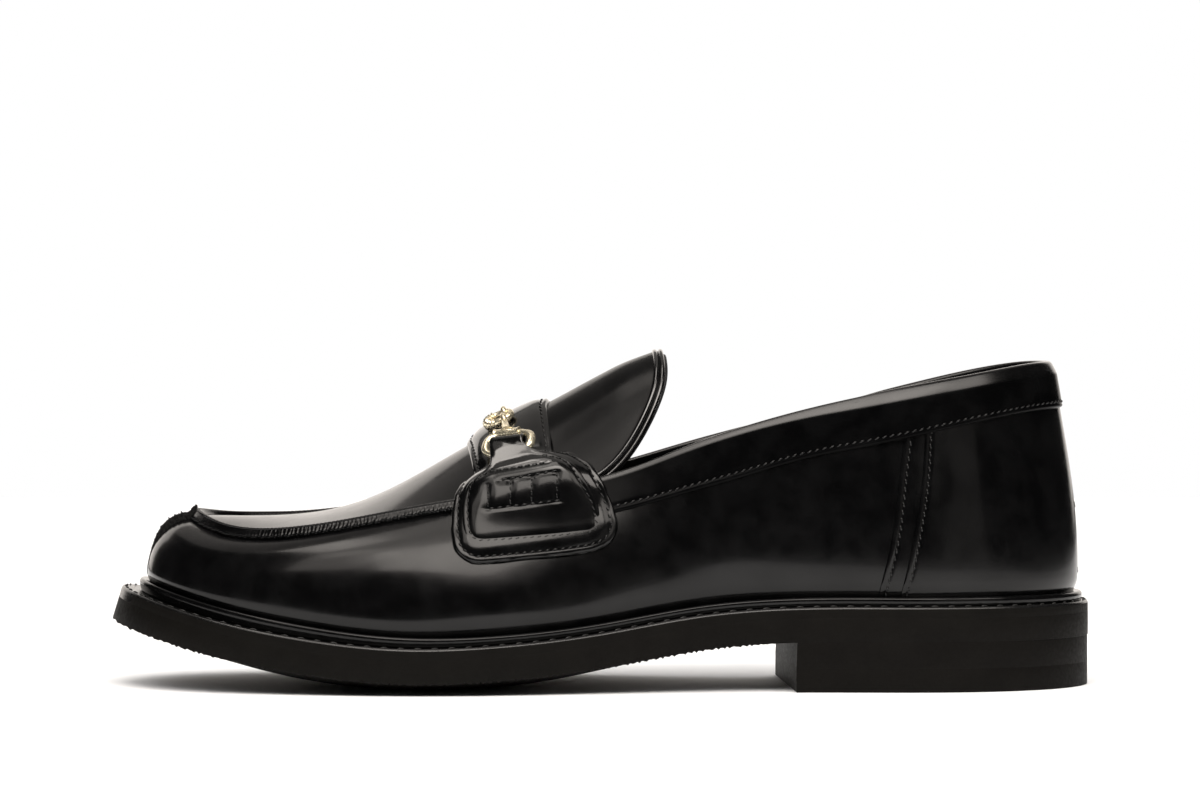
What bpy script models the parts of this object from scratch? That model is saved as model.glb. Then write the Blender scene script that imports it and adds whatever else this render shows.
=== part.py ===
"""A left bit loafer in black leather: welted sole, hollow upper, tongue, saddle strap and metal bit.

The toe points to -X, the lateral side is -Y and the shoe stands on z = 0.
"""

import math

import bmesh
import bpy
import numpy as np
from mathutils import Matrix, Vector

# Tables and sizes are in millimetres, or are shares of these driving sizes.
MM = 0.001
OUTSOLE_LENGTH = 298.0
BALL_WIDTH = 106.0
BACK_HEIGHT = 96.5
HEEL_SEAT = 25.7

GAP = 0.3
LEATHER = 2.0
WELT_THICK = 3.5
OUTSOLE_THICK = 6.7
CROWN = 4.4
CROWN_FRONT = -140.0
CROWN_BACK = 30.0
CROWN_FADE = 60.0
CROWN_POWER = 2.4
TOP_LIFT_THICK = 7.1
HEEL_INSET = 0.2
BEAD_HIGH = 3.0
BEAD_WIDE = 2.0
BEAD_CORNERS = ((0.0, 0.0), (0.0, 0.85), (0.4, 1.0), (0.8, 0.85), (1.0, 0.45), (0.95, 0.0))
WELT_HIDDEN = 7.0
INSOLE_THICK = 3.0
TONGUE_THICK = 2.8
STRAP_THICK = 1.7
TAB_THICK = 1.2
THROAT = -30.0
RIDGE_ROUND = 0.34
SIDE_ROUND = 0.36

# Floor line of the welt's upper face: place along the length and height as a share of HEEL_SEAT.
SOLE_LINE = (
    (0.00, 1.000),
    (0.10, 1.000),
    (0.20, 1.000),
    (0.30, 0.992),
    (0.40, 0.907),
    (0.50, 0.716),
    (0.60, 0.588),
    (0.70, 0.553),
    (0.80, 0.665),
    (0.90, 0.885),
    (0.99, 1.175),
)

# Ribs of the upper's wall, from the heel along the lateral side to the toe, then back along the medial side.
# The foot stands on the welt and the edge is the apron seam or the collar.
RIB_COLUMNS = (
    "foot_along",
    "foot_across",
    "reach",
    "low_out",
    "low_rise",
    "edge_along",
    "edge_across",
    "edge_up",
    "high_out",
    "high_drop",
)
RIBS = (
    (0.015, 0.075, 4.4, 2.2, 22.0, 0.039, 0.075, 1.000, 4.2, 24.0),
    (0.042, -0.311, 4.4, 2.5, 22.0, 0.060, -0.189, 0.997, 3.6, 24.0),
    (0.114, -0.557, 4.6, 2.5, 22.0, 0.117, -0.425, 0.970, 3.0, 22.0),
    (0.265, -0.598, 4.8, 3.0, 18.0, 0.265, -0.543, 0.883, 2.5, 20.0),
    (0.416, -0.660, 5.0, 4.0, 15.0, 0.409, -0.566, 0.750, 5.0, 16.0),
    (0.527, -0.785, 5.3, 4.0, 14.0, 0.500, -0.585, 0.650, 6.0, 14.0),
    (0.651, -0.883, 6.2, 4.0, 14.0, 0.641, -0.610, 0.572, 9.0, 8.0),
    (0.785, -0.811, 6.5, 4.0, 13.0, 0.775, -0.575, 0.503, 10.0, 3.0),
    (0.876, -0.632, 7.2, 3.5, 11.0, 0.846, -0.443, 0.481, 11.0, 2.0),
    (0.933, -0.358, 8.0, 3.0, 10.5, 0.888, -0.245, 0.497, 11.0, 2.0),
    (0.962, 0.075, 8.1, 2.5, 11.0, 0.913, 0.075, 0.532, 10.5, 1.0),
    (0.933, 0.500, 8.0, 3.0, 10.5, 0.888, 0.387, 0.520, 11.0, 2.0),
    (0.876, 0.717, 7.2, 3.5, 11.0, 0.846, 0.538, 0.513, 11.0, 2.0),
    (0.785, 0.849, 6.5, 4.0, 13.0, 0.775, 0.651, 0.523, 10.0, 3.0),
    (0.674, 0.872, 6.5, 4.0, 14.0, 0.641, 0.651, 0.585, 8.0, 8.0),
    (0.534, 0.685, 5.3, 4.0, 14.0, 0.500, 0.585, 0.658, 5.0, 14.0),
    (0.416, 0.558, 5.0, 3.5, 15.0, 0.409, 0.556, 0.738, 4.0, 16.0),
    (0.265, 0.594, 4.8, 3.0, 18.0, 0.265, 0.541, 0.856, 2.5, 20.0),
    (0.114, 0.626, 4.6, 2.5, 22.0, 0.117, 0.496, 0.968, 3.0, 22.0),
    (0.042, 0.425, 4.4, 2.5, 22.0, 0.060, 0.330, 0.997, 3.6, 24.0),
)
TOE_RIB = 10

# Ridge of the apron and the tongue: place along, place across and height as a share of BACK_HEIGHT.
RIDGE = (
    (0.426, 0.020, 1.087),
    (0.479, 0.055, 1.011),
    (0.540, 0.095, 0.910),
    (0.601, 0.120, 0.810),
    (0.663, 0.130, 0.702),
    (0.724, 0.125, 0.601),
    (0.785, 0.115, 0.543),
    (0.852, 0.095, 0.528),
    (0.913, 0.075, 0.532),
)

# Sides of the tongue where it lies inside the wall: place along, lateral across and up, medial across and up.
TONGUE_SIDES = (
    (0.420, -0.465, 0.725, 0.470, 0.730),
    (0.500, -0.512, 0.632, 0.518, 0.640),
    (0.601, -0.528, 0.575, 0.560, 0.585),
)
TONGUE_TIP = 20.4
TONGUE_BASE = -3.0
TIP_WIDE = 2.6
TIP_LONG = 2.2

# Saddle strap, from its middle down: way down and place of its front edge, then of its back edge.
STRAP_ROWS = (
    (0.0, -40.3, 0.0, -15.9),
    (13.5, -39.0, 14.0, -14.8),
    (23.5, -37.9, 25.0, -13.7),
    (25.5, -39.2, 27.3, -11.8),
    (28.0, -41.6, 29.6, -7.8),
    (33.5, -43.6, 36.0, -2.3),
    (38.7, -44.4, 43.0, 1.3),
    (45.0, -44.6, 50.7, 4.2),
    (50.0, -43.9, 56.5, 5.4),
    (54.0, -41.8, 60.5, 4.4),
    (57.0, -38.4, 62.4, 1.8),
    (58.3, -35.0, 63.0, -2.5),
)

# Tab, from below its fold: the same four columns, then the height of its outer face.
TAB_ROWS = (
    (24.6, -32.9, 25.6, -20.0, 5.2),
    (26.6, -33.2, 27.6, -17.8, 4.5),
    (28.6, -33.9, 29.4, -15.2, 4.1),
    (30.0, -37.6, 31.5, -11.6, 3.9),
    (33.0, -39.9, 35.5, -7.6, 3.9),
    (37.0, -41.0, 41.5, -4.0, 3.9),
    (41.5, -41.2, 47.5, -1.0, 3.9),
    (46.0, -40.9, 53.0, 0.4, 3.9),
    (49.6, -39.8, 56.5, 1.0, 3.9),
    (52.2, -37.4, 58.4, -0.2, 3.9),
    (53.4, -34.4, 59.0, -2.6, 3.9),
)
NECK_FRONT = -32.2
NECK_BACK = -23.3
FOLD_TURNS = (295.0, 268.0, 235.0, 200.0, 165.0, 130.0, 100.0, 72.0, 42.0)

# Bit: ways down from the middle of the strap and heights above the leather. The middle lies beside the ridge.
MIDDLE_WAY = -6.5
ROW_STEP = 4.0
RING_PLACE = -29.2
BIT_PLACE = -27.6
BIT_SKEW = 0.22
BAR_WAY = 20.0
BAR_HIGH = 5.7
SLEEVE_WAY = 11.6
SLEEVE_HIGH = 4.35
RING_HIGH = 4.25
RING_LONG = 5.2
RING_RADIUS = 4.1
RING_WIRE = 0.65
EYE_RADIUS = 1.45
EYE_WIRE = 0.5
LOOP_HALF = 7.2
LOOP_POWER = 4.0
LOOP_WIRE = 0.85
SLEEVE_HALF = 4.0
SLEEVE_RADIUS = 1.25
STEM_RADIUS = 1.0

# Counts of faces along the pieces.
SOLE_ROWS = 30
FRONT_RIBS = 14
BACK_RIBS = 15
WALL_ROWS = 9
APRON_COLUMNS = 10

BREAST_LATERAL = 58.8
BREAST_MEDIAL = 54.4


def clear_scene():
    for old in list(bpy.data.objects):
        bpy.data.objects.remove(old, do_unlink=True)


def make_material(name, colour, roughness, metallic=0.0):
    material = bpy.data.materials.new(name)
    material.use_nodes = True
    shader = material.node_tree.nodes["Principled BSDF"]
    shader.inputs["Base Color"].default_value = (*colour, 1.0)
    shader.inputs["Roughness"].default_value = roughness
    shader.inputs["Metallic"].default_value = metallic
    return material


def cubic(knots, values, loop=0.0):
    """A smooth curve through the values; loop is the length after which it starts again."""
    x = np.asarray(knots, float)
    y = np.asarray(values, float)
    if loop:
        x = np.append(x, x[0] + loop)
        y = np.append(y, y[0])
    count = len(x)
    step = np.diff(x)
    slope = np.diff(y) / step
    system = np.eye(count)
    right = np.zeros(count)
    for i in range(1, count - 1):
        system[i, i - 1 : i + 2] = step[i - 1], 2 * (step[i - 1] + step[i]), step[i]
        right[i] = 6 * (slope[i] - slope[i - 1])
    if loop:
        system[0, -1] = -1
        system[-1] = 0
        system[-1, 0] = 2 * (step[-1] + step[0])
        system[-1, 1] = step[0]
        system[-1, -2] = step[-1]
        right[-1] = 6 * (slope[0] - slope[-1])
    bend = np.linalg.solve(system, right)

    def at(where, rate=False):
        w = np.asarray(where, float)
        if loop:
            w = x[0] + (w - x[0]) % loop
        i = np.clip(np.searchsorted(x, w, side="right") - 1, 0, count - 2)
        ahead = x[i + 1] - w
        behind = w - x[i]
        if rate:
            turn = (bend[i + 1] * behind**2 - bend[i] * ahead**2) / (2 * step[i])
            return turn + slope[i] - step[i] * (bend[i + 1] - bend[i]) / 6
        curve = (bend[i] * ahead**3 + bend[i + 1] * behind**3) / (6 * step[i])
        first = (y[i] / step[i] - bend[i] * step[i] / 6) * ahead
        return curve + first + (y[i + 1] / step[i] - bend[i + 1] * step[i] / 6) * behind

    return at


def along(share):
    return OUTSOLE_LENGTH * (0.5 - np.asarray(share, float))


def across(share):
    return 0.5 * BALL_WIDTH * np.asarray(share, float)


def points(x, y, z):
    return np.stack(np.broadcast_arrays(x, y, z), axis=-1)


sole_line = cubic(-along([row[0] for row in SOLE_LINE]), [HEEL_SEAT * row[1] for row in SOLE_LINE])


def sole_top(x):
    return sole_line(-np.asarray(x, float))


def sole_layer(x, y, depth):
    """The point this deep under the welt's upper face, square to it."""
    tilt = np.arctan(-sole_line(-np.asarray(x, float), rate=True))
    return points(x + depth * np.sin(tilt), y, sole_top(x) - depth * np.cos(tilt))


rib_table = dict(zip(RIB_COLUMNS, np.array(RIBS).T))
foot_x_rows = along(rib_table["foot_along"])
foot_y_rows = across(rib_table["foot_across"])
rib_steps = np.hypot(foot_x_rows - np.roll(foot_x_rows, -1), foot_y_rows - np.roll(foot_y_rows, -1))
rib_ways = np.concatenate([[0.0], np.cumsum(rib_steps)[:-1]]) / rib_steps.sum()
TOE_WAY = rib_ways[TOE_RIB]
rib = {
    "foot_x": cubic(rib_ways, foot_x_rows, 1.0),
    "foot_y": cubic(rib_ways, foot_y_rows, 1.0),
    "edge_x": cubic(rib_ways, along(rib_table["edge_along"]), 1.0),
    "edge_y": cubic(rib_ways, across(rib_table["edge_across"]), 1.0),
    "edge_z": cubic(rib_ways, BACK_HEIGHT * rib_table["edge_up"], 1.0),
}
for column in ("reach", "low_out", "low_rise", "high_out", "high_drop"):
    rib[column] = cubic(rib_ways, rib_table[column], 1.0)


def outward(way):
    """Unit vector in plan, square to the foot of the wall."""
    dx = rib["foot_x"](way, rate=True)
    dy = rib["foot_y"](way, rate=True)
    size = np.hypot(dx, dy)
    return -dy / size, dx / size


def outline(way, inset):
    """Plan of the sole's edge, this far inside it."""
    out_x, out_y = outward(way)
    reach = rib["reach"](way) - inset
    return rib["foot_x"](way) + out_x * reach, rib["foot_y"](way) + out_y * reach


def foot_plan(way, out):
    """Plan of the line this far outside the foot of the wall."""
    out_x, out_y = outward(way)
    return rib["foot_x"](way) + out_x * out, rib["foot_y"](way) + out_y * out


def edge_point(way):
    return points(rib["edge_x"](way), rib["edge_y"](way), rib["edge_z"](way))


def wall(way, rise):
    """Outer face of the upper's wall: rise is 0 on the welt and 1 at the apron seam or collar."""
    way, t = np.broadcast_arrays(np.asarray(way, float), np.asarray(rise, float))
    out_x, out_y = outward(way)
    out = points(out_x, out_y, 0.0)
    up = np.array([0.0, 0.0, 1.0])
    foot_x = rib["foot_x"](way)
    foot = points(foot_x, rib["foot_y"](way), sole_top(foot_x) + GAP)
    edge = edge_point(way)
    low = foot + out * rib["low_out"](way)[..., None] + up * rib["low_rise"](way)[..., None]
    high = edge + out * rib["high_out"](way)[..., None] - up * rib["high_drop"](way)[..., None]
    t = t[..., None]
    s = 1 - t
    return foot * s**3 + 3 * low * s**2 * t + 3 * high * s * t**2 + edge * t**3


ridge_x = -along([row[0] for row in RIDGE])
ridge_y = cubic(ridge_x, across([row[1] for row in RIDGE]))
ridge_z = cubic(ridge_x, [BACK_HEIGHT * row[2] for row in RIDGE])


def ridge(x):
    return points(x, ridge_y(-x), ridge_z(-x))


def arch(side, top, share):
    """Half of the instep's section, from its side (share 0) to the ridge (share 1)."""
    share = np.asarray(share, float)[..., None]
    s = 1 - share
    near = top + (side - top) * (0.0, RIDGE_ROUND, 0.0)
    low = side + SIDE_ROUND * (near - side)
    return side * s**3 + 3 * low * s**2 * share + 3 * near * s * share**2 + top * share**3


dense = np.linspace(0.0, TOE_WAY, 400)
lateral_edge_x = rib["edge_x"](dense)
dense_medial = np.linspace(1.0, TOE_WAY, 400)
medial_edge_x = rib["edge_x"](dense_medial)


def lateral_way(x):
    return np.interp(-np.asarray(x, float), -lateral_edge_x, dense)


def medial_way(x):
    return np.interp(-np.asarray(x, float), -medial_edge_x, dense_medial)


def draped(mesh, columns, rows, place):
    """A grid of columns by rows faces, each point carried to place(u, v), u and v running from 0 to 1."""
    made = bmesh.ops.create_grid(mesh, x_segments=columns, y_segments=rows, size=0.5)
    verts = made["verts"]
    flat = np.array([vert.co[:2] for vert in verts]) + 0.5
    places = place(flat[:, 0], flat[:, 1]) * MM
    for vert, where in zip(verts, places):
        vert.co = where


def sewn(mesh):
    bmesh.ops.remove_doubles(mesh, verts=mesh.verts, dist=0.000002)
    bmesh.ops.recalc_face_normals(mesh, faces=mesh.faces)


def add_object(mesh, name, material, collection):
    data = bpy.data.meshes.new(name)
    mesh.to_mesh(data)
    mesh.free()
    data.materials.append(material)
    made = bpy.data.objects.new(name, data)
    collection.objects.link(made)
    return made


def solidify(target, thickness):
    modifier = target.modifiers.new("wall", "SOLIDIFY")
    modifier.thickness = thickness * MM
    modifier.offset = -1.0
    modifier.use_even_offset = False
    modifier.use_quality_normals = True


def joined(target, other):
    modifier = target.modifiers.new("join", "BOOLEAN")
    modifier.operation = "UNION"
    modifier.solver = "EXACT"
    modifier.object = other


def pick(values, share):
    return np.asarray(values)[np.rint(np.asarray(share) * (len(values) - 1)).astype(int)]


def plate(name, material, collection, plan, top, bottom, ends=None, columns=6, rows=SOLE_ROWS):
    """A closed plate between two faces, given in plan by the two sides from the heel to ends."""
    ends = ends or (TOE_WAY, TOE_WAY)

    def place(u, v, face):
        near = plan(v * ends[0])
        far = plan(1 - v * (1 - ends[1]))
        x = near[0] + (far[0] - near[0]) * u
        y = near[1] + (far[1] - near[1]) * u
        return face(x, y, 2 * u - 1)

    loop = [(0.0, v) for v in np.linspace(0, 1, rows + 1)]
    loop += [(u, 1.0) for u in np.linspace(0, 1, columns + 1)[1:]]
    loop += [(1.0, v) for v in np.linspace(1, 0, rows + 1)[1:]]
    loop_u = [spot[0] for spot in loop]
    loop_v = [spot[1] for spot in loop]

    def side(u, v):
        over = place(pick(loop_u, u), pick(loop_v, u), top)
        under = place(pick(loop_u, u), pick(loop_v, u), bottom)
        return over + (under - over) * v[:, None]

    mesh = bmesh.new()
    draped(mesh, columns, rows, lambda u, v: place(u, v, top))
    draped(mesh, columns, rows, lambda u, v: place(u, v, bottom))
    draped(mesh, len(loop) - 1, 1, side)
    sewn(mesh)
    return add_object(mesh, name, material, collection)


def ring(name, material, collection, section, count):
    """A closed strip all round the shoe; section gives its corners at each way."""
    ways = np.concatenate([np.linspace(0, TOE_WAY, count + 1)[:-1], np.linspace(TOE_WAY, 1, count + 1)[:-1]])
    corners = section(ways)
    mesh = bmesh.new()

    def place(u, v):
        i = np.rint(u * len(ways)).astype(int) % len(ways)
        j = np.rint(v * corners.shape[1]).astype(int) % corners.shape[1]
        return corners[i, j]

    draped(mesh, len(ways), corners.shape[1], place)
    sewn(mesh)
    return add_object(mesh, name, material, collection)


def welt_section(ways):
    outer = outline(ways, 0.0)
    inner = foot_plan(ways, -WELT_HIDDEN)
    sides = (outer, inner)
    over = [sole_layer(x, y, 0.0) for x, y in sides]
    under = [sole_layer(x, y, WELT_THICK) for x, y in sides]
    return np.stack([over[0], over[1], under[1], under[0]], axis=1)


def bead_section(ways):
    """The bead leans on the wall, so its inner side follows the wall at each height."""
    rises = np.linspace(0.0, 0.35, 40)
    corners = []
    for out, high in BEAD_CORNERS:
        spots = []
        for way in ways:
            face = wall(way, rises)
            floor = sole_top(face[:, 0])
            rise = np.interp(GAP + high * BEAD_HIGH, face[:, 2] - floor, rises)
            spot = wall(way, rise)
            out_x, out_y = outward(way)
            step = 2.2 * GAP + out * BEAD_WIDE
            x = spot[0] + out_x * step
            y = spot[1] + out_y * step
            spots.append((x, y, sole_top(x) + GAP + high * BEAD_HIGH))
        corners.append(spots)
    return np.array(corners).transpose(1, 0, 2)


def outsole_bottom(x, y, side):
    """The forefoot is crowned, and the crown ends in a flat spot on the floor."""
    front = np.clip((x - CROWN_FRONT) / CROWN_FADE, 0, 1)
    fore = front * np.clip((CROWN_BACK - x) / CROWN_FADE, 0, 1)
    fore = fore * fore * (3 - 2 * fore)
    low = sole_layer(x, y, WELT_THICK + GAP + OUTSOLE_THICK)
    low[..., 2] -= CROWN * fore * (1 - np.abs(side) ** CROWN_POWER)
    low[..., 2] = np.maximum(low[..., 2], 0.0)
    return low


def breast_way(x, side):
    ways = dense if side < 0 else dense_medial
    return float(np.interp(-x, -outline(ways, 0.0)[0], ways))


def heel_plan(way):
    return outline(way, HEEL_INSET)


def make_sole(collection, rubber, leather, lining):
    plate(
        "outsole",
        rubber,
        collection,
        lambda way: outline(way, 0.0),
        lambda x, y, side: sole_layer(x, y, WELT_THICK + GAP),
        outsole_bottom,
        columns=10,
    )
    ring("welt", rubber, collection, welt_section, SOLE_ROWS)
    ring("welt_bead", leather, collection, bead_section, SOLE_ROWS)
    breast = (breast_way(BREAST_LATERAL, -1), breast_way(BREAST_MEDIAL, 1))
    under = WELT_THICK + 2 * GAP + OUTSOLE_THICK
    plate(
        "heel_stack",
        rubber,
        collection,
        heel_plan,
        lambda x, y, side: sole_layer(x, y, under),
        lambda x, y, side: points(x, y, TOP_LIFT_THICK + GAP),
        ends=breast,
        columns=4,
        rows=14,
    )
    plate(
        "heel_top_lift",
        rubber,
        collection,
        heel_plan,
        lambda x, y, side: points(x, y, TOP_LIFT_THICK),
        lambda x, y, side: points(x, y, 0.0),
        ends=breast,
        columns=4,
        rows=14,
    )
    board = plate(
        "insole",
        lining,
        collection,
        lambda way: foot_plan(way, -LEATHER - 3 * GAP),
        lambda x, y, side: sole_layer(x, y, -GAP - INSOLE_THICK),
        lambda x, y, side: sole_layer(x, y, -GAP),
        columns=4,
    )
    filler = plate(
        "insole_filler",
        lining,
        bpy.data.collections["helpers"],
        lambda way: foot_plan(way, -WELT_HIDDEN - 0.5),
        lambda x, y, side: sole_layer(x, y, -GAP - 0.5 * INSOLE_THICK),
        lambda x, y, side: sole_layer(x, y, WELT_THICK),
        columns=4,
    )
    joined(board, filler)


def make_upper(collection, leather):
    throat_near = lateral_way(THROAT)
    near = np.concatenate([
        np.linspace(TOE_WAY, throat_near, FRONT_RIBS + 1),
        np.linspace(throat_near, 0.0, BACK_RIBS + 1)[1:],
    ])
    far = medial_way(rib["edge_x"](near))
    far[0] = TOE_WAY
    far[-1] = 1.0
    round_ways = np.concatenate([near[::-1], far[1:]])
    mesh = bmesh.new()
    draped(mesh, len(round_ways) - 1, WALL_ROWS, lambda u, v: wall(pick(round_ways, u), v))

    def apron(u, v):
        near_way = pick(near[: FRONT_RIBS + 1], v)
        far_way = pick(far[: FRONT_RIBS + 1], v)
        top = ridge(rib["edge_x"](near_way))
        left = arch(edge_point(near_way), top, 2 * u)
        right = arch(edge_point(far_way), top, 2 - 2 * u)
        return np.where((u <= 0.5)[:, None], left, right)

    draped(mesh, APRON_COLUMNS, FRONT_RIBS, apron)
    sewn(mesh)
    upper = add_object(mesh, "upper", leather, collection)
    solidify(upper, LEATHER)
    return upper


tongue_x = -along([row[0] for row in TONGUE_SIDES])
tongue_columns = [
    cubic(tongue_x, [size(row[i]) for row in TONGUE_SIDES])
    for i, size in enumerate((along, across, lambda s: BACK_HEIGHT * s, across, lambda s: BACK_HEIGHT * s))
]


def instep(x, side):
    """Outer face of the tongue: side runs from -1 at the lateral side to 1 at the medial one."""
    near = points(x, tongue_columns[1](-x), tongue_columns[2](-x))
    far = points(x, tongue_columns[3](-x), tongue_columns[4](-x))
    top = ridge(x)
    return np.where((side <= 0)[..., None], arch(near, top, 1 + side), arch(far, top, 1 - side))


def make_tongue(collection, leather):
    def place(u, v):
        side = 2 * u - 1
        end = TONGUE_BASE + (TONGUE_TIP - TONGUE_BASE) * (1 - np.abs(side) ** TIP_WIDE) ** (1 / TIP_LONG)
        start = THROAT + 5 * GAP
        return instep(start + (end - start) * v, side)

    mesh = bmesh.new()
    draped(mesh, 14, 10, place)
    sewn(mesh)
    tongue = add_object(mesh, "tongue", leather, collection)
    solidify(tongue, TONGUE_THICK)


GIRDLE_X = np.linspace(-56.0, 16.0, 37)
GIRDLE_WAYS = np.linspace(-74.0, 62.0, 137)


def girdle_half(x, medial):
    """Section of the upper at x, from the ridge down one side, as ways and points."""
    ways = dense_medial if medial else dense
    way = medial_way(x) if medial else lateral_way(x)
    over = arch(edge_point(way)[None, :], ridge(np.array([x])), np.linspace(1, 0, 25))
    rows = []
    for rise in np.linspace(1, 0.02, 30)[1:]:
        face = wall(ways, rise)
        rows.append([np.interp(-x, -face[:, 0], face[:, i]) for i in range(3)])
    line = np.concatenate([over.reshape(-1, 3), np.array(rows)])
    line[:, 0] = x
    steps = np.linalg.norm(np.diff(line, axis=0), axis=1)
    return np.concatenate([[0.0], np.cumsum(steps)]), line


def make_girdle():
    grid = []
    for x in GIRDLE_X:
        near_way, near = girdle_half(x, False)
        far_way, far = girdle_half(x, True)
        ways = np.concatenate([-near_way[:0:-1], far_way])
        line = np.concatenate([near[:0:-1], far])
        row = np.stack([np.interp(GIRDLE_WAYS, ways, line[:, i]) for i in range(3)], axis=-1)
        kernel = np.ones(5) / 5
        for i in (1, 2):
            padded = np.pad(row[:, i], 2, mode="reflect", reflect_type="odd")
            row[:, i] = np.convolve(padded, kernel, mode="valid")
        grid.append(row)
    grid = np.array(grid)
    normal = np.cross(np.gradient(grid, axis=0), np.gradient(grid, axis=1))
    return grid, normal / np.maximum(np.linalg.norm(normal, axis=-1, keepdims=True), 1e-9)


girdle, girdle_normal = make_girdle()


def girdle_read(field, x, way):
    i = np.clip((x - GIRDLE_X[0]) / (GIRDLE_X[1] - GIRDLE_X[0]), 0, len(GIRDLE_X) - 1.001)
    j = np.clip((way - GIRDLE_WAYS[0]) / (GIRDLE_WAYS[1] - GIRDLE_WAYS[0]), 0, len(GIRDLE_WAYS) - 1.001)
    low_i = i.astype(int)
    low_j = j.astype(int)
    p = (i - low_i)[..., None]
    q = (j - low_j)[..., None]
    first = field[low_i, low_j] * (1 - q) + field[low_i, low_j + 1] * q
    second = field[low_i + 1, low_j] * (1 - q) + field[low_i + 1, low_j + 1] * q
    return first * (1 - p) + second * p


def over_leather(x, way, high):
    """Point this high above the upper, at this way from the ridge, that ends at x in side view."""
    x, way, high = np.broadcast_arrays(*(np.asarray(value, float) for value in (x, way, high)))
    base = np.array(x)
    for _ in range(6):
        lean = girdle_read(girdle_normal, base, way)
        base = x - lean[..., 0] * high
    return girdle_read(girdle, base, way) + girdle_read(girdle_normal, base, way) * high[..., None]


def filled(rows):
    """The rows with others between those that lie more than ROW_STEP apart."""
    made = [rows[0]]
    for row in rows[1:]:
        count = math.ceil((row[0] - made[-1][0]) / ROW_STEP)
        made += list(np.linspace(made[-1], row, count + 1)[1:])
    return np.array(made)


def make_strap(collection, leather):
    rows = filled(np.array(STRAP_ROWS))
    full = np.concatenate([rows[::-1] * (-1, 1, -1, 1), rows[1:]])

    def place(u, v):
        row = pick(full, v)
        way = MIDDLE_WAY + row[:, 0] + (row[:, 2] - row[:, 0]) * u
        return over_leather(row[:, 1] + (row[:, 3] - row[:, 1]) * u, way, 2 * GAP + STRAP_THICK)

    mesh = bmesh.new()
    draped(mesh, 8, len(full) - 1, place)
    sewn(mesh)
    strap = add_object(mesh, "saddle_strap", leather, collection)
    solidify(strap, STRAP_THICK)


def make_tab(name, hand, collection, leather):
    """The neck folds round the bar of the ring, then the panel lies on the strap's wing."""
    radius = LOOP_WIRE + 1.7 * GAP + TAB_THICK
    turns = np.radians(FOLD_TURNS)
    rows = np.array([(turn, NECK_FRONT, turn, NECK_BACK, 0.0) for turn in turns] + list(TAB_ROWS))
    frame, half = bit_loop(hand)
    turned = np.array(frame)

    def place(u, v):
        row = pick(rows, v)
        x = row[:, 1] + (row[:, 3] - row[:, 1]) * u
        down = row[:, 0] + (row[:, 2] - row[:, 0]) * u
        panel = over_leather(x, MIDDLE_WAY + hand * down, row[:, 4])
        side = (x - turned[0, 3] / MM) / turned[0, 1]
        bar = half * np.maximum(1 - np.abs(side / LOOP_HALF) ** LOOP_POWER, 0) ** (1 / LOOP_POWER)
        fold = points(bar + radius * np.cos(row[:, 0]), side, -hand * radius * np.sin(row[:, 0]))
        fold = fold @ turned[:3, :3].T + turned[:3, 3] / MM
        return np.where((v * (len(rows) - 1) < len(turns) - 0.5)[:, None], fold, panel)

    mesh = bmesh.new()
    draped(mesh, 6, len(rows) - 1, place)
    sewn(mesh)
    middle = mesh.faces[:][len(mesh.faces) // 2]
    if middle.normal.y * hand < 0:
        bmesh.ops.reverse_faces(mesh, faces=mesh.faces)
    tab = add_object(mesh, name, leather, collection)
    solidify(tab, TAB_THICK)


def frame_of(u, v, origin):
    """Matrix whose x axis is u and whose y axis is v made square to it."""
    u = Vector(u).normalized()
    v = Vector(v)
    v = (v - u * v.dot(u)).normalized()
    w = u.cross(v)
    turn = Matrix((u, v, w)).transposed().to_4x4()
    return Matrix.Translation(Vector(origin) * MM) @ turn


def torus(name, radii, wire, matrix, counts, material, collection, power=2.0):
    """A ring of round wire in the matrix's xy plane; a power over 2 squares its two radii off."""
    turn = np.linspace(0, 2 * np.pi, 721)
    path_x = radii[0] * np.sign(np.cos(turn)) * np.abs(np.cos(turn)) ** (2 / power)
    path_y = radii[1] * np.sign(np.sin(turn)) * np.abs(np.sin(turn)) ** (2 / power)
    ways = np.concatenate([[0.0], np.cumsum(np.hypot(np.diff(path_x), np.diff(path_y)))])
    mesh = bmesh.new()

    def spot(way):
        way = way % ways[-1]
        return np.interp(way, ways, path_x), np.interp(way, ways, path_y)

    def place(u, v):
        way = ways[-1] * (np.rint(u * counts[0]) % counts[0]) / counts[0]
        roll = 2 * np.pi * (np.rint(v * counts[1]) % counts[1]) / counts[1]
        x, y = spot(way)
        after = spot(way + 0.3)
        before = spot(way - 0.3)
        step = np.hypot(after[0] - before[0], after[1] - before[1])
        reach = wire * np.cos(roll) / step
        x = x + reach * (after[1] - before[1])
        y = y - reach * (after[0] - before[0])
        return points(x, y, wire * np.sin(roll))

    draped(mesh, counts[0], counts[1], place)
    sewn(mesh)
    mesh.transform(matrix)
    return add_object(mesh, name, material, collection)


def rod(name, start, end, radii, material, collection, count=12):
    """A round rod between two points, given in millimetres."""
    start = Vector(start)
    end = Vector(end)
    mesh = bmesh.new()
    bmesh.ops.create_cone(
        mesh,
        cap_ends=True,
        segments=count,
        radius1=radii[0] * MM,
        radius2=radii[1] * MM,
        depth=(end - start).length * MM,
    )
    turn = (end - start).to_track_quat("Z", "Y").to_matrix().to_4x4()
    mesh.transform(Matrix.Translation((start + end) * 0.5 * MM) @ turn)
    return add_object(mesh, name, material, collection)


def bit_spot(hand, down, high, back=0.0, place=BIT_PLACE):
    """Point this far down from the middle of the strap, and this far back along the skewed bar."""
    return Vector(over_leather(place + back, MIDDLE_WAY + hand * (down + BIT_SKEW * back), high))


def bit_axis(hand, down, high):
    """Unit vector along a bar of the bit, towards the heel."""
    return (bit_spot(hand, down, high, 3.0) - bit_spot(hand, down, high, -3.0)).normalized()


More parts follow.
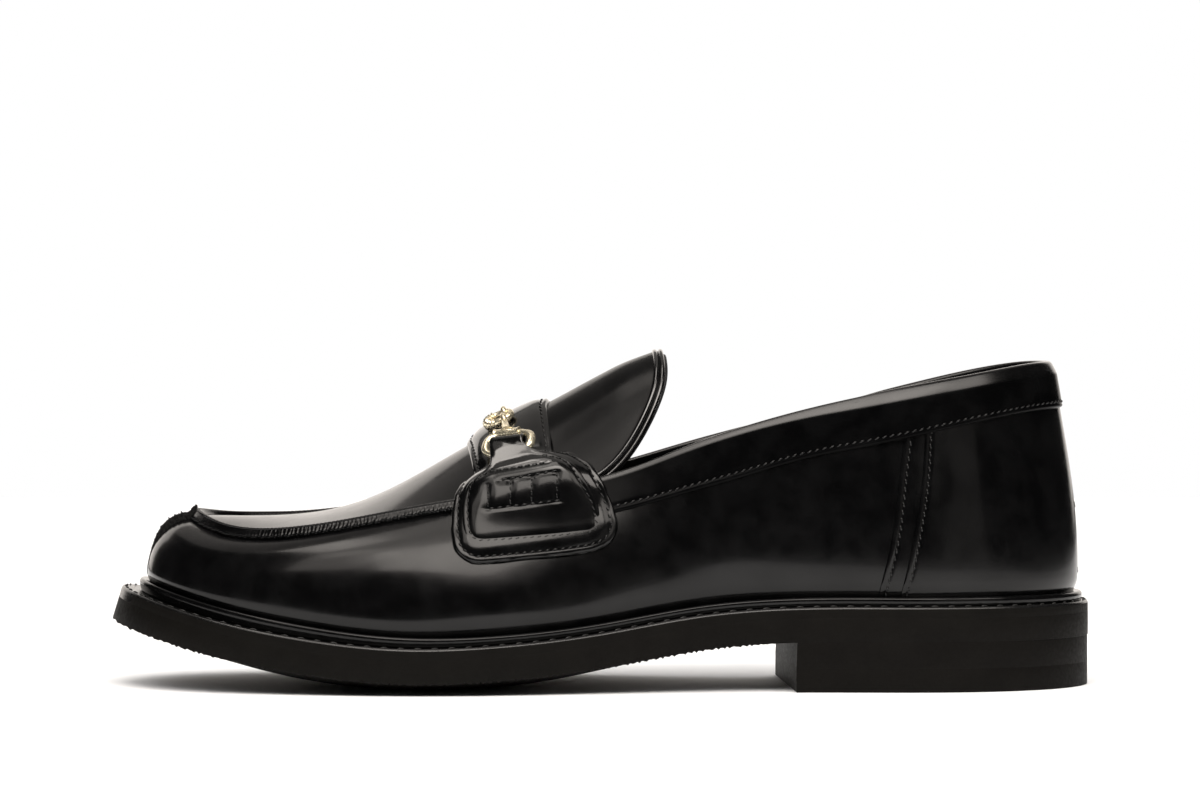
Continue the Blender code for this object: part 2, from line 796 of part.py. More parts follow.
def bit_loop(hand):
    """Frame of the loop between the sleeve and the fold of the tab, and half its depth."""
    sleeve = bit_spot(hand, SLEEVE_WAY, SLEEVE_HIGH)
    axis = bit_axis(hand, SLEEVE_WAY, SLEEVE_HIGH)
    down = bit_spot(hand, BAR_WAY, BAR_HIGH) - sleeve
    down -= axis * down.dot(axis)
    return frame_of(down, axis, sleeve + down * 0.5), 0.5 * down.length


def make_bit(collection, metal):
    helpers = bpy.data.collections["helpers"]
    centre = bit_spot(1, 0.0, RING_HIGH, place=RING_PLACE)
    side = {hand: bit_spot(hand, 3.0, RING_HIGH, place=RING_PLACE) for hand in (-1, 1)}
    level = (side[1] - side[-1]).normalized()
    slope = bit_spot(1, 0.0, RING_HIGH, place=RING_PLACE + 3.0) - centre
    flat = frame_of(level, slope, centre)
    torus("bit_ring", (RING_RADIUS, RING_LONG), RING_WIRE, flat, (24, 8), metal, collection)
    for name, hand in (("bit_link_lateral", -1), ("bit_link_medial", 1)):
        sleeve = bit_spot(hand, SLEEVE_WAY, SLEEVE_HIGH)
        eye = centre + level * (hand * RING_RADIUS)
        axis = bit_axis(hand, SLEEVE_WAY, SLEEVE_HIGH)
        loop, half = bit_loop(hand)
        link = torus(name, (half, LOOP_HALF), LOOP_WIRE, loop, (28, 8), metal, collection, LOOP_POWER)
        sleeve_bar = rod(
            name + "_sleeve",
            sleeve - axis * SLEEVE_HALF,
            sleeve + axis * SLEEVE_HALF,
            (SLEEVE_RADIUS, SLEEVE_RADIUS),
            metal,
            helpers,
        )
        pull = (eye - sleeve).normalized()
        stem = rod(
            name + "_stem",
            sleeve + pull * 0.2,
            eye - pull * (EYE_RADIUS - 0.1),
            (1.5 * STEM_RADIUS, 0.75 * STEM_RADIUS),
            metal,
            helpers,
        )
        upright = frame_of(pull, pull.cross(axis), eye)
        eye_ring = torus(name + "_eye", (EYE_RADIUS, EYE_RADIUS), EYE_WIRE, upright, (16, 6), metal, helpers)
        joined(link, sleeve_bar)
        joined(link, stem)
        joined(link, eye_ring)


def main():
    clear_scene()
    scene = bpy.context.scene
    shoe = bpy.data.collections.new("loafer")
    scene.collection.children.link(shoe)
    helpers = bpy.data.collections.new("helpers")
    scene.collection.children.link(helpers)
    leather = make_material("black_leather", (0.012, 0.012, 0.013), 0.2)
    lining = make_material("black_lining", (0.02, 0.02, 0.02), 0.6)
    rubber = make_material("black_rubber", (0.022, 0.022, 0.023), 0.6)
    metal = make_material("pale_gold", (0.86, 0.72, 0.45), 0.15, 1.0)
    make_sole(shoe, rubber, leather, lining)
    make_upper(shoe, leather)
    make_tongue(shoe, leather)
    make_strap(shoe, leather)
    make_tab("tab_lateral", -1, shoe, leather)
    make_tab("tab_medial", 1, shoe, leather)
    make_bit(shoe, metal)
    for helper in helpers.objects:
        helper.hide_render = True
        helper.display_type = "WIRE"


main()
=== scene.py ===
import math

import bpy
import numpy as np
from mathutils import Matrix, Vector


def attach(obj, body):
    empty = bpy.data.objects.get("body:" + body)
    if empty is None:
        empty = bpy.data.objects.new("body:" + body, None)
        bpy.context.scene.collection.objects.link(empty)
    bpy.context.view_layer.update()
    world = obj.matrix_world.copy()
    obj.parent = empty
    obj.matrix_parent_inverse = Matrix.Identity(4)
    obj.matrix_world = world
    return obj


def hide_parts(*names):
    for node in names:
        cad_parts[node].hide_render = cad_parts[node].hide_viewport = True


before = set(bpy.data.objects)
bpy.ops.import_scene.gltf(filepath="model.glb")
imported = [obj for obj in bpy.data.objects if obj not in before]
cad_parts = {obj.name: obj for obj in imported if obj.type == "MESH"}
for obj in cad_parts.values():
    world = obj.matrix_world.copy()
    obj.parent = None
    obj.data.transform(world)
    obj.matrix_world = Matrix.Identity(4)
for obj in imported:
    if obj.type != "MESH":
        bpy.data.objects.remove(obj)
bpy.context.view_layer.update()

mm = 0.001
upward = np.array([0.0, 0.0, 1.0])


def smooth(value, low, high):
    t = np.clip((np.asarray(value, float) - low) / (high - low), 0, 1)
    return t * t * (3 - 2 * t)


def unit(vectors):
    return vectors / np.maximum(np.linalg.norm(vectors, axis=-1, keepdims=True), 1e-9)


def points(x, y, z):
    return np.stack(np.broadcast_arrays(x, y, z), axis=-1)


def lengths(path):  # way along a line at each of its points
    return np.concatenate([[0.0], np.cumsum(np.linalg.norm(np.diff(path, axis=0), axis=1))])


def between(at, ways, path):  # places on a line, by the way along it
    return np.stack([np.interp(at, ways, path[:, i]) for i in range(3)], axis=-1)


def circle(count):
    return np.linspace(0, 2 * np.pi, count, endpoint=False)


def bezier(first, second, third, final, share):
    t = np.asarray(share, float)[..., None]
    s = 1 - t
    return first * s**3 + 3 * second * s**2 * t + 3 * third * s * t**2 + final * t**3


def cubic(knots, values, loop=0.0):  # a smooth curve through the values, which may be vectors
    x = np.asarray(knots, float)
    y = np.asarray(values, float)
    tail = y.shape[1:]
    y = y.reshape(len(y), -1)
    if loop:
        x = np.append(x, x[0] + loop)
        y = np.vstack([y, y[:1]])
    count = len(x)
    step = np.diff(x)
    slope = np.diff(y, axis=0) / step[:, None]
    system = np.eye(count)
    right = np.zeros_like(y)
    for i in range(1, count - 1):
        system[i, i - 1 : i + 2] = step[i - 1], 2 * (step[i - 1] + step[i]), step[i]
        right[i] = 6 * (slope[i] - slope[i - 1])
    if loop:
        system[0, -1] = -1
        system[-1] = 0
        system[-1, 0] = 2 * (step[-1] + step[0])
        system[-1, 1] = step[0]
        system[-1, -2] = step[-1]
        right[-1] = 6 * (slope[0] - slope[-1])
    bend = np.linalg.solve(system, right)

    def at(where, rate=False):
        w = np.asarray(where, float)
        shape = w.shape
        w = w.ravel()
        if loop:
            w = x[0] + (w - x[0]) % loop
        i = np.clip(np.searchsorted(x, w, side="right") - 1, 0, count - 2)
        ahead = (x[i + 1] - w)[:, None]
        behind = (w - x[i])[:, None]
        wide = step[i][:, None]
        if rate:
            turn = (bend[i + 1] * behind**2 - bend[i] * ahead**2) / (2 * wide)
            made = turn + slope[i] - wide * (bend[i + 1] - bend[i]) / 6
        else:
            made = (bend[i] * ahead**3 + bend[i + 1] * behind**3) / (6 * wide)
            made = made + (y[i] / wide - bend[i] * wide / 6) * ahead
            made = made + (y[i + 1] / wide - bend[i + 1] * wide / 6) * behind
        return made.reshape(shape + tail)

    return at


def rowCurve(rows):  # a smooth curve through rows of a place and a value
    rows = np.array(rows)
    return cubic(rows[:, 0], rows[:, 1])


# Surfaces of the last, in millimetres, as in the CAD part.
last = {
    "length": 298.0,
    "ball": 106.0,
    "back": 96.5,
    "seat": 25.7,
    "gap": 0.3,
    "throat": -30.0,
    "ridgeRound": 0.34,
    "sideRound": 0.36,
    "toeRib": 10,
    "ways": 600,
    "soleLine": (
        (0.00, 1.000), (0.10, 1.000), (0.20, 1.000), (0.30, 0.992), (0.40, 0.907), (0.50, 0.716),
        (0.60, 0.588), (0.70, 0.553), (0.80, 0.665), (0.90, 0.885), (0.99, 1.175),
    ),
    "columns": (
        "footAlong", "footAcross", "reach", "lowOut", "lowRise",
        "edgeAlong", "edgeAcross", "edgeUp", "highOut", "highDrop",
    ),
    "ribs": (
        (0.015, 0.075, 4.4, 2.2, 22.0, 0.039, 0.075, 1.000, 4.2, 24.0),
        (0.042, -0.311, 4.4, 2.5, 22.0, 0.060, -0.189, 0.997, 3.6, 24.0),
        (0.114, -0.557, 4.6, 2.5, 22.0, 0.117, -0.425, 0.970, 3.0, 22.0),
        (0.265, -0.598, 4.8, 3.0, 18.0, 0.265, -0.543, 0.883, 2.5, 20.0),
        (0.416, -0.660, 5.0, 4.0, 15.0, 0.409, -0.566, 0.750, 5.0, 16.0),
        (0.527, -0.785, 5.3, 4.0, 14.0, 0.500, -0.585, 0.650, 6.0, 14.0),
        (0.651, -0.883, 6.2, 4.0, 14.0, 0.641, -0.610, 0.572, 9.0, 8.0),
        (0.785, -0.811, 6.5, 4.0, 13.0, 0.775, -0.575, 0.503, 10.0, 3.0),
        (0.876, -0.632, 7.2, 3.5, 11.0, 0.846, -0.443, 0.481, 11.0, 2.0),
        (0.933, -0.358, 8.0, 3.0, 10.5, 0.888, -0.245, 0.497, 11.0, 2.0),
        (0.962, 0.075, 8.1, 2.5, 11.0, 0.913, 0.075, 0.532, 10.5, 1.0),
        (0.933, 0.500, 8.0, 3.0, 10.5, 0.888, 0.387, 0.520, 11.0, 2.0),
        (0.876, 0.717, 7.2, 3.5, 11.0, 0.846, 0.538, 0.513, 11.0, 2.0),
        (0.785, 0.849, 6.5, 4.0, 13.0, 0.775, 0.651, 0.523, 10.0, 3.0),
        (0.674, 0.872, 6.5, 4.0, 14.0, 0.641, 0.651, 0.585, 8.0, 8.0),
        (0.534, 0.685, 5.3, 4.0, 14.0, 0.500, 0.585, 0.658, 5.0, 14.0),
        (0.416, 0.558, 5.0, 3.5, 15.0, 0.409, 0.556, 0.738, 4.0, 16.0),
        (0.265, 0.594, 4.8, 3.0, 18.0, 0.265, 0.541, 0.856, 2.5, 20.0),
        (0.114, 0.626, 4.6, 2.5, 22.0, 0.117, 0.496, 0.968, 3.0, 22.0),
        (0.042, 0.425, 4.4, 2.5, 22.0, 0.060, 0.330, 0.997, 3.6, 24.0),
    ),
    "ridge": (
        (0.426, 0.020, 1.087), (0.479, 0.055, 1.011), (0.540, 0.095, 0.910), (0.601, 0.120, 0.810),
        (0.663, 0.130, 0.702), (0.724, 0.125, 0.601), (0.785, 0.115, 0.543), (0.852, 0.095, 0.528),
        (0.913, 0.075, 0.532),
    ),
}
gap = last["gap"]


def along(share):
    return last["length"] * (0.5 - np.asarray(share, float))


def across(share):
    return 0.5 * last["ball"] * np.asarray(share, float)


soleRows = np.array(last["soleLine"])
soleLine = cubic(-along(soleRows[:, 0]), last["seat"] * soleRows[:, 1])


def soleTop(x):
    return soleLine(-np.asarray(x, float))


def soleLayer(x, y, depth):  # this deep under the welt's upper face, square to it
    tilt = np.arctan(-soleLine(-np.asarray(x, float), rate=True))
    return points(x + depth * np.sin(tilt), y, soleTop(x) - depth * np.cos(tilt))


ribTable = dict(zip(last["columns"], np.array(last["ribs"]).T))
footRows = np.stack([along(ribTable["footAlong"]), across(ribTable["footAcross"])], axis=1)
ribSteps = np.linalg.norm(np.roll(footRows, -1, axis=0) - footRows, axis=1)
ribWays = np.concatenate([[0.0], np.cumsum(ribSteps)[:-1]]) / ribSteps.sum()
toeWay = ribWays[last["toeRib"]]
rib = {
    "foot": cubic(ribWays, footRows, 1.0),
    "edge": cubic(
        ribWays,
        points(
            along(ribTable["edgeAlong"]),
            across(ribTable["edgeAcross"]),
            last["back"] * ribTable["edgeUp"],
        ),
        1.0,
    ),
}
for column in ("reach", "lowOut", "lowRise", "highOut", "highDrop"):
    rib[column] = cubic(ribWays, ribTable[column], 1.0)


def outward(way):
    rate = rib["foot"](way, rate=True)
    size = np.hypot(rate[..., 0], rate[..., 1])
    return points(-rate[..., 1] / size, rate[..., 0] / size, 0.0)


def footPlan(way, out):  # plan of the upper's foot, this far outside it
    return rib["foot"](way) + outward(way)[..., :2] * np.asarray(out)[..., None]


def outline(way, inset):  # plan of the sole's edge, this far inside it
    return footPlan(way, rib["reach"](way) - inset)


def wall(way, rise):  # rise is 0 on the welt and 1 at the apron seam or the collar
    way, rise = np.broadcast_arrays(np.asarray(way, float), np.asarray(rise, float))
    out = outward(way)
    plan = rib["foot"](way)
    foot = points(plan[..., 0], plan[..., 1], soleTop(plan[..., 0]) + gap)
    edge = rib["edge"](way)
    low = foot + out * rib["lowOut"](way)[..., None] + upward * rib["lowRise"](way)[..., None]
    high = edge + out * rib["highOut"](way)[..., None] - upward * rib["highDrop"](way)[..., None]
    return bezier(foot, low, high, edge, rise)


def wallOut(way, rise):  # unit vector square to the wall
    alongWay = wall(way + 1e-4, rise) - wall(way - 1e-4, rise)
    alongRise = wall(way, rise + 1e-3) - wall(way, rise - 1e-3)
    return unit(np.cross(alongRise, alongWay))


ridgeRows = np.array(last["ridge"])
ridgeLine = cubic(
    -along(ridgeRows[:, 0]),
    np.stack([across(ridgeRows[:, 1]), last["back"] * ridgeRows[:, 2]], axis=1),
)


def ridge(x):
    line = ridgeLine(-np.asarray(x, float))
    return points(x, line[..., 0], line[..., 1])


def arch(side, top, share, flat=None):  # half of the instep's section, from its side to the ridge
    near = top + (side - top) * (0.0, last["ridgeRound"] if flat is None else flat, 0.0)
    low = side + last["sideRound"] * (near - side)
    return bezier(side, low, near, top, share)


lateralWays = np.linspace(0.0, toeWay, last["ways"])
medialWays = np.linspace(1.0, toeWay, last["ways"])
lateralX = rib["edge"](lateralWays)[:, 0]
medialX = rib["edge"](medialWays)[:, 0]


def lateralWay(x):
    return np.interp(-np.asarray(x, float), -lateralX, lateralWays)


def medialWay(x):
    return np.interp(-np.asarray(x, float), -medialX, medialWays)


# Ways of making meshes.
def chosen(*pieces):  # these are selected and nothing else, and the first is active
    bpy.ops.object.select_all(action="DESELECT")
    for piece in pieces:
        piece.select_set(True)
    if pieces:
        bpy.context.view_layer.objects.active = pieces[0]


def opened(piece):  # in edit mode, selected all over
    chosen(piece)
    bpy.ops.object.mode_set(mode="EDIT")
    bpy.ops.mesh.select_all(action="SELECT")


def readAll(items, field):  # a vector for each vertex or face
    values = np.empty(3 * len(items))
    items.foreach_get(field, values)
    return values.reshape(-1, 3)


def netSheet(name, net):  # a grid whose points are the net's own
    columns = net.shape[0] - 1
    rows = net.shape[1] - 1
    chosen()
    bpy.ops.mesh.primitive_grid_add(x_subdivisions=columns, y_subdivisions=rows, size=1.0)
    sheet = bpy.context.object
    sheet.name = name
    sheet.data.name = name
    flat = readAll(sheet.data.vertices, "co") + 0.5
    i = np.rint(flat[:, 0] * columns).astype(int)
    j = np.rint(flat[:, 1] * rows).astype(int)
    sheet.data.vertices.foreach_set("co", (net[i, j] * mm).ravel())
    sheet.data.update()
    return sheet


def sewn(piece, near=0.002):
    opened(piece)
    bpy.ops.mesh.remove_doubles(threshold=near * mm)
    bpy.ops.mesh.normals_make_consistent(inside=False)
    bpy.ops.object.mode_set(mode="OBJECT")
    return piece


def facing(piece, centre):  # turns the faces round when most of them look at the centre
    look = readAll(piece.data.polygons, "center") - np.array(centre) * mm
    if (look * readAll(piece.data.polygons, "normal")).sum() < 0:
        opened(piece)
        bpy.ops.mesh.flip_normals()
        bpy.ops.object.mode_set(mode="OBJECT")


def united(name, pieces):
    chosen(*pieces)
    bpy.ops.object.join()
    pieces[0].name = name
    pieces[0].data.name = name
    return pieces[0]


def strip(name, sections, loop=False):  # a closed skin over sections (count, corners, 3)
    if loop:
        sections = np.concatenate([sections, sections[:1]])
    else:
        middles = np.broadcast_to(sections.mean(axis=1, keepdims=True), sections.shape)
        sections = np.concatenate([middles[:1], sections, middles[-1:]])
    sections = np.concatenate([sections, sections[:, :1]], axis=1)
    return sewn(netSheet(name, sections))


def tube(name, path, radii, first, sides=14, loop=False, flat=1.0):
    if loop:
        tangent = unit(np.roll(path, -1, axis=0) - np.roll(path, 1, axis=0))
    else:
        tangent = unit(np.gradient(path, axis=0))
    hand = np.empty_like(path)
    turn = np.asarray(first, float)
    for i, way in enumerate(tangent):
        turn = turn - way * turn.dot(way)
        turn = turn / np.linalg.norm(turn)
        hand[i] = turn
    other = np.cross(tangent, hand)
    roll = circle(sides)
    radii = np.broadcast_to(np.asarray(radii, float), (len(path),))[:, None, None]
    ring = hand[:, None] * np.cos(roll)[:, None] * flat + other[:, None] * np.sin(roll)[:, None]
    return strip(name, path[:, None] + radii * ring, loop)


def lines(length, fine, coarse, growth=1.16):  # shares along a length, close together near both ends
    steps = [fine]
    while sum(steps) < 0.5 * length:
        steps.append(min(steps[-1] * growth, coarse))
    half = np.cumsum([0.0] + steps)
    half = half / half[-1] * 0.5
    return np.concatenate([half, 1 - half[-2::-1]])


def splineNet(net, fine, coarse):  # a fine net through the points of a coarse one
    for axis in (1, 0):
        steps = np.linalg.norm(np.diff(net[..., :3], axis=axis), axis=-1).mean(axis=1 - axis)
        knots = np.concatenate([[0.0], np.cumsum(steps)])
        shares = lines(knots[-1], fine, coarse) * knots[-1]
        net = np.moveaxis(cubic(knots, np.moveaxis(net, axis, 0))(shares), 0, axis)
    return net


def rimOf(net):
    return np.concatenate([net[0, :-1], net[:-1, -1], net[-1, :0:-1], net[:0:-1, 0]])


def rimReach(net, batch=40):  # distance of each point of the net from its rim
    rim = rimOf(net)
    flat = net.reshape(-1, 3)
    reach = np.full(len(flat), np.inf)
    for start in range(0, len(rim), batch):
        off = flat[:, None] - rim[None, start : start + batch]
        reach = np.minimum(reach, (off * off).sum(axis=-1).min(axis=1))
    return np.sqrt(reach).reshape(net.shape[:2])


def netOut(net, side):
    return side * unit(np.cross(np.gradient(net, axis=0), np.gradient(net, axis=1)))


def rounded(reach, tall, radius):  # height over a sheet whose rim is rolled
    t = np.clip(reach / radius, 0, 1)
    return tall * np.sqrt(np.maximum(1 - (1 - t) ** 2, 0))


def dip(value, place, wide):
    return np.exp(-(((value - place) / wide) ** 2))


def pillow(name, net, side, high, under=0.3, fade=1.5):  # a closed sheet: its top lies high over the net
    out = netOut(net, side)
    reach = rimReach(net)
    top = net + out * high(reach)[..., None]
    low = net - out * (under * np.clip(reach / fade, 0, 1))[..., None]
    sheet = united(name, [netSheet(name, top), netSheet(name + "Low", low)])
    return sewn(sheet, 0.004)


def rimPath(net, side, inset, high, reach=3):  # a line this far inside the rim and this high
    rim = rimOf(net)
    out = rimOf(netOut(net, side))
    step = unit(np.roll(rim, -reach, axis=0) - np.roll(rim, reach, axis=0))
    inner = np.cross(out, step)
    centre = net[net.shape[0] // 2, net.shape[1] // 2]
    if ((centre - rim) * inner).sum() < 0:
        inner = -inner
    return rim + inner * inset + out * high, out


def paced(path, pitch, near=0.2):  # places and directions at an even pitch along a line
    ways = lengths(path)
    count = max(int(round(ways[-1] / pitch)), 1)
    at = (np.arange(count) + 0.5) * ways[-1] / count
    step = between(at + near, ways, path) - between(at - near, ways, path)
    return between(at, ways, path), unit(step), at / ways[-1]


def stitchSet(spots, step, out, size, slant):  # size is half length, half width and height
    return {"spots": spots, "step": step, "out": out, "size": size, "slant": slant}


def stitchRow(path, out, pitch, size, slant):
    spots, step, share = paced(path, pitch)
    normal = between(share * (len(out) - 1), np.arange(len(out)), out)
    return stitchSet(spots, step, unit(normal), size, slant)


# One stitch: place along it, width and lift of each ring, as shares of its size.
stitch = {
    "sides": 6,
    "flat": 0.55,
    "rings": (
        (-1.0, 0.25, -0.5), (-0.72, 0.8, 0.2), (0.0, 1.0, 0.45), (0.72, 0.8, 0.2), (1.0, 0.25, -0.5),
    ),
}


def stitchMesh(name, rows):  # one stitch, copied along every row into one mesh
    sides = stitch["sides"]
    shape = np.array([
        (place, wide * math.cos(turn), lift + stitch["flat"] * wide * math.sin(turn))
        for place, wide, lift in stitch["rings"] for turn in circle(sides)
    ])
    faces = []
    for start in range(0, len(shape) - sides, sides):
        for i in range(sides):
            j = (i + 1) % sides
            faces.append((start + i, start + j, start + sides + j, start + sides + i))
    faces.append(tuple(range(sides - 1, -1, -1)))
    faces.append(tuple(range(len(shape) - sides, len(shape))))
    verts = []
    polys = []
    for row in rows:
        side = np.cross(row["out"], row["step"])
        ahead = unit(row["step"] + side * row["slant"])
        side = np.cross(row["out"], ahead)
        half, wide, tall = row["size"]
        made = row["spots"][:, None] + ahead[:, None] * (shape[:, 0] * half)[None, :, None]
        made = made + side[:, None] * (shape[:, 1] * wide)[None, :, None]
        made = made + row["out"][:, None] * (shape[:, 2] * tall)[None, :, None]
        for spot in made:
            start = len(verts)
            verts += [tuple(v) for v in spot * mm]
            polys += [tuple(start + i for i in face) for face in faces]
    mesh = bpy.data.meshes.new(name)
    mesh.from_pydata(verts, [], polys)
    piece = bpy.data.objects.new(name, mesh)
    bpy.context.scene.collection.objects.link(piece)
    return sewn(piece, 0.0005)


# Shader maths.
def setSockets(node, values):
    for key, value in values.items():
        if isinstance(value, Sock):
            node.id_data.links.new(value.socket, node.inputs[key])
        else:
            node.inputs[key].default_value = value


class Sock:
    def __init__(self, tree, socket=None):
        self.tree = tree
        self.socket = socket

    def node(self, kind, settings=None, sockets=None, out=0):
        made = self.tree.nodes.new(kind)
        for key, value in (settings or {}).items():
            setattr(made, key, value)
        setSockets(made, sockets or {})
        return Sock(self.tree, made.outputs[out])

    def maths(self, kind, other):
        return self.node("ShaderNodeMath", {"operation": kind}, {0: self, 1: other})

    def __add__(self, other):
        return self.maths("ADD", other)

    __radd__ = __add__

    def __mul__(self, other):
        return self.maths("MULTIPLY", other)

    __rmul__ = __mul__

    def spread(self, low, high, first=0.0, final=1.0):
        return self.node(
            "ShaderNodeMapRange",
            {"interpolation_type": "SMOOTHSTEP"},
            {0: self, 1: low, 2: high, 3: first, 4: final},
        )

    def mixed(self, first, second):  # colours, this socket being the share of the second
        return self.node(
            "ShaderNodeMix",
            {"data_type": "RGBA"},
            {"Factor": self, 6: (*first, 1.0), 7: (*second, 1.0)},
            out=2,
        )


def newFinish(name):
    material = bpy.data.materials.new(name)
    material.use_nodes = True
    tree = material.node_tree
    spot = Sock(tree).node("ShaderNodeTexCoord", out=3)  # Object coordinates
    return material, tree.nodes["Principled BSDF"], spot


def noise(spot, scale, detail=3.0, rough=0.5):
    return spot.node(
        "ShaderNodeTexNoise", None, {"Vector": spot, "Scale": scale, "Detail": detail, "Roughness": rough}
    )


def bumped(height, strength, depth, under=None):  # over another bump where one is given
    sockets = {"Strength": strength, "Distance": depth * mm, "Height": height}
    if under:
        sockets["Normal"] = under
    return height.node("ShaderNodeBump", None, sockets)


# Leather: colours and gloss, then strength and depth of its bumps and the scales of its patterns.
leather = {
    "dark": (0.0013, 0.0013, 0.0014),
    "light": (0.0026, 0.0026, 0.0027),
    "rough": (0.165, 0.215),
    "coat": (0.06, 0.14),
    "grain": (0.05, 0.1),
    "wave": (0.06, 0.35),
    "broad": 45.0,
    "patch": 120.0,
    "cells": 1500.0,
    "fine": 1700.0,
}


def leatherFinish(name, rough, coat, shine, polish=None, rubbed=0.0, coatRough=0.08):
    material, shader, spot = newFinish(name)
    broad = noise(spot, leather["broad"])
    patch = noise(spot, leather["patch"], 4.0, 0.55)
    fine = noise(spot, leather["fine"], 3.0, 0.6)
    cells = spot.node(
        "ShaderNodeTexVoronoi", {"feature": "F1"},
        {"Vector": spot, "Scale": leather["cells"], "Randomness": 1.0},
    )
    slow = bumped(broad, *leather["wave"])
    glaze = broad.spread(0.3, 0.7, *coat)
    if polish:  # rubbed brighter above a height
        low, high, gain = polish
        up = spot.node("ShaderNodeSeparateXYZ", None, {"Vector": spot}, out=2)
        glaze = glaze + up.spread(low * mm, high * mm, 0.0, gain)
    if rubbed:  # rubbed brighter where the piece's own mark says
        glaze = glaze + spot.node("ShaderNodeAttribute", {"attribute_name": "rubbed"}, out=2) * rubbed
    setSockets(shader, {
        "Base Color": patch.spread(0.35, 0.65).mixed(leather["dark"], leather["light"]),
        "Roughness": patch.spread(0.3, 0.7, *rough),
        "Coat Weight": glaze,
        "Coat Roughness": coatRough,
        "Specular IOR Level": shine,
        "Normal": bumped(cells * 0.6 + fine * 0.5, *leather["grain"], slow),
    })
    return material


def plainFinish(name, dark, light, rough, grain, metallic=0.0, shine=0.5, patch=90.0):
    scale, strength, depth = grain
    material, shader, spot = newFinish(name)
    broad = noise(spot, patch, 4.0)
    fine = noise(spot, scale, 4.0, 0.65)
    setSockets(shader, {
        "Base Color": broad.spread(0.3, 0.7).mixed(dark, light),
        "Roughness": fine.spread(0.3, 0.7, *rough),
        "Metallic": metallic,
        "Specular IOR Level": shine,
        "Normal": bumped(fine, strength, depth),
    })
    return material


finish = {
    "leather": leatherFinish("polishedLeather", leather["rough"], leather["coat"], 0.25),
    "softLeather": leatherFinish("tongueLeather", (0.2, 0.26), (0.0, 0.02), 0.1),
    "rollLeather": leatherFinish("rollLeather", (0.14, 0.18), (0.3, 0.4), 0.9),
    "collarLeather": leatherFinish(
        "collarLeather", leather["rough"], (0.0, 0.02), 0.03, rubbed=0.9, coatRough=0.24
    ),
    "strapLeather": leatherFinish(
        "strapLeather", leather["rough"], (0.1, 0.2), 0.25, polish=(58.0, 64.0, 0.5)
    ),
    "tabLeather": leatherFinish(
        "tabLeather", leather["rough"], (0.05, 0.12), 0.22, polish=(66.0, 68.2, 0.95)
    ),
    "raw": plainFinish(
        "rawEdge", (0.001, 0.001, 0.001), (0.01, 0.0095, 0.009), (0.6, 0.8), (1300.0, 1.0, 0.5),
        shine=0.15, patch=1500.0,
    ),
    "lining": plainFinish(
        "liningLeather", (0.009, 0.009, 0.0095), (0.014, 0.014, 0.014), (0.5, 0.68), (1900.0, 0.2, 0.1)
    ),
    "rubber": plainFinish(
        "soleRubber", (0.0029, 0.0025, 0.002), (0.004, 0.0035, 0.0028), (0.5, 0.66), (900.0, 0.25, 0.15),
        shine=0.1,
    ),
    "weltTop": plainFinish(
        "weltTop", (0.004, 0.004, 0.004), (0.006, 0.006, 0.006), (0.2, 0.28), (900.0, 0.15, 0.1)
    ),
    "gold": plainFinish(
        "paleGold", (0.9, 0.8, 0.58), (0.94, 0.85, 0.65), (0.22, 0.3), (600.0, 0.03, 0.05), metallic=0.88
    ),
    "thread": plainFinish(
        "blackThread", (0.003, 0.003, 0.003), (0.006, 0.006, 0.006), (0.22, 0.32), (2600.0, 0.3, 0.06)
    ),
    "weltThread": plainFinish(
        "weltThread", (0.01, 0.01, 0.0095), (0.02, 0.0195, 0.0185), (0.35, 0.45), (2600.0, 0.3, 0.06)
    ),
}
print("finishes made")


def kept(piece, finishName, nodes=(), angle=None):
    chosen(piece)
    if angle is None:
        bpy.ops.object.shade_smooth()
    else:
        bpy.ops.object.shade_smooth_by_angle(angle=math.radians(angle))
    if finishName:
        piece.data.materials.clear()
        piece.data.materials.append(finish[finishName])
    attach(piece, "root")
    for node in nodes:
        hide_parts(node)
    return piece


# Seam that gathers the wall round the apron. Its profile: reach out of the edge, what its height is
# measured from, that height, and the share of the gathers.
seam = {
    "start": -36.0,
    "count": 900,
    "tall": (2.3, 2.9),
    "tallEnds": (-85.0, -50.0),
    "lower": 0.6,  # it is lower on the far side
    "lowerEnds": (-4.0, 14.0),
    "jag": 0.16,
    "front": (30.0, 46.0),
    "sag": (0.5, 1.2),
    "sagEnds": (60.0, 100.0),
    "foot": 0.9,
    "pleat": 0.22,
    "pleatReach": 1.5,
    "pitch": 1.15,
    "profile": (
        (-2.4, "edge", -0.5, 0.0), (-1.9, "edge", 0.1, 0.0), (-1.55, "edge", 0.5, 0.0),
        (-1.35, "top", -0.75, 0.0), (-1.12, "top", -0.4, 0.0), (-0.85, "top", -0.14, 0.0),
        (-0.6, "top", -0.06, 0.0), (-0.46, "top", -0.2, 0.0), (-0.34, "top", -0.08, 0.0),
        (-0.08, "top", 0.0, 0.0), (0.16, "top", -0.1, 0.0), (0.22, "top", -0.32, 0.0),
        (0.06, "top", -0.52, 0.0), (0.22, "top", -0.7, 0.0), (0.6, "top", -1.15, 0.05),
        (1.0, "top", -1.7, 0.3), (1.32, "top", -2.2, 1.2), (1.42, "top", -2.6, 2.2),
        (1.1, "top", -3.0, 2.2), (0.4, "foot", 0.1, 0.5), (-0.6, "foot", -0.6, 0.0),
    ),
}


def frontShare(way):
    return smooth(-rib["edge"](way)[..., 0], *seam["front"])


def seamSag(way):
    place = -rib["edge"](way)[..., 0]
    low, high = seam["sag"]
    return frontShare(way) * (low + (high - low) * smooth(place, *seam["sagEnds"]))


seamWays = np.linspace(lateralWay(seam["start"]), medialWay(seam["start"]), seam["count"])
seamEdge = rib["edge"](seamWays)
seamRun = lengths(seamEdge)


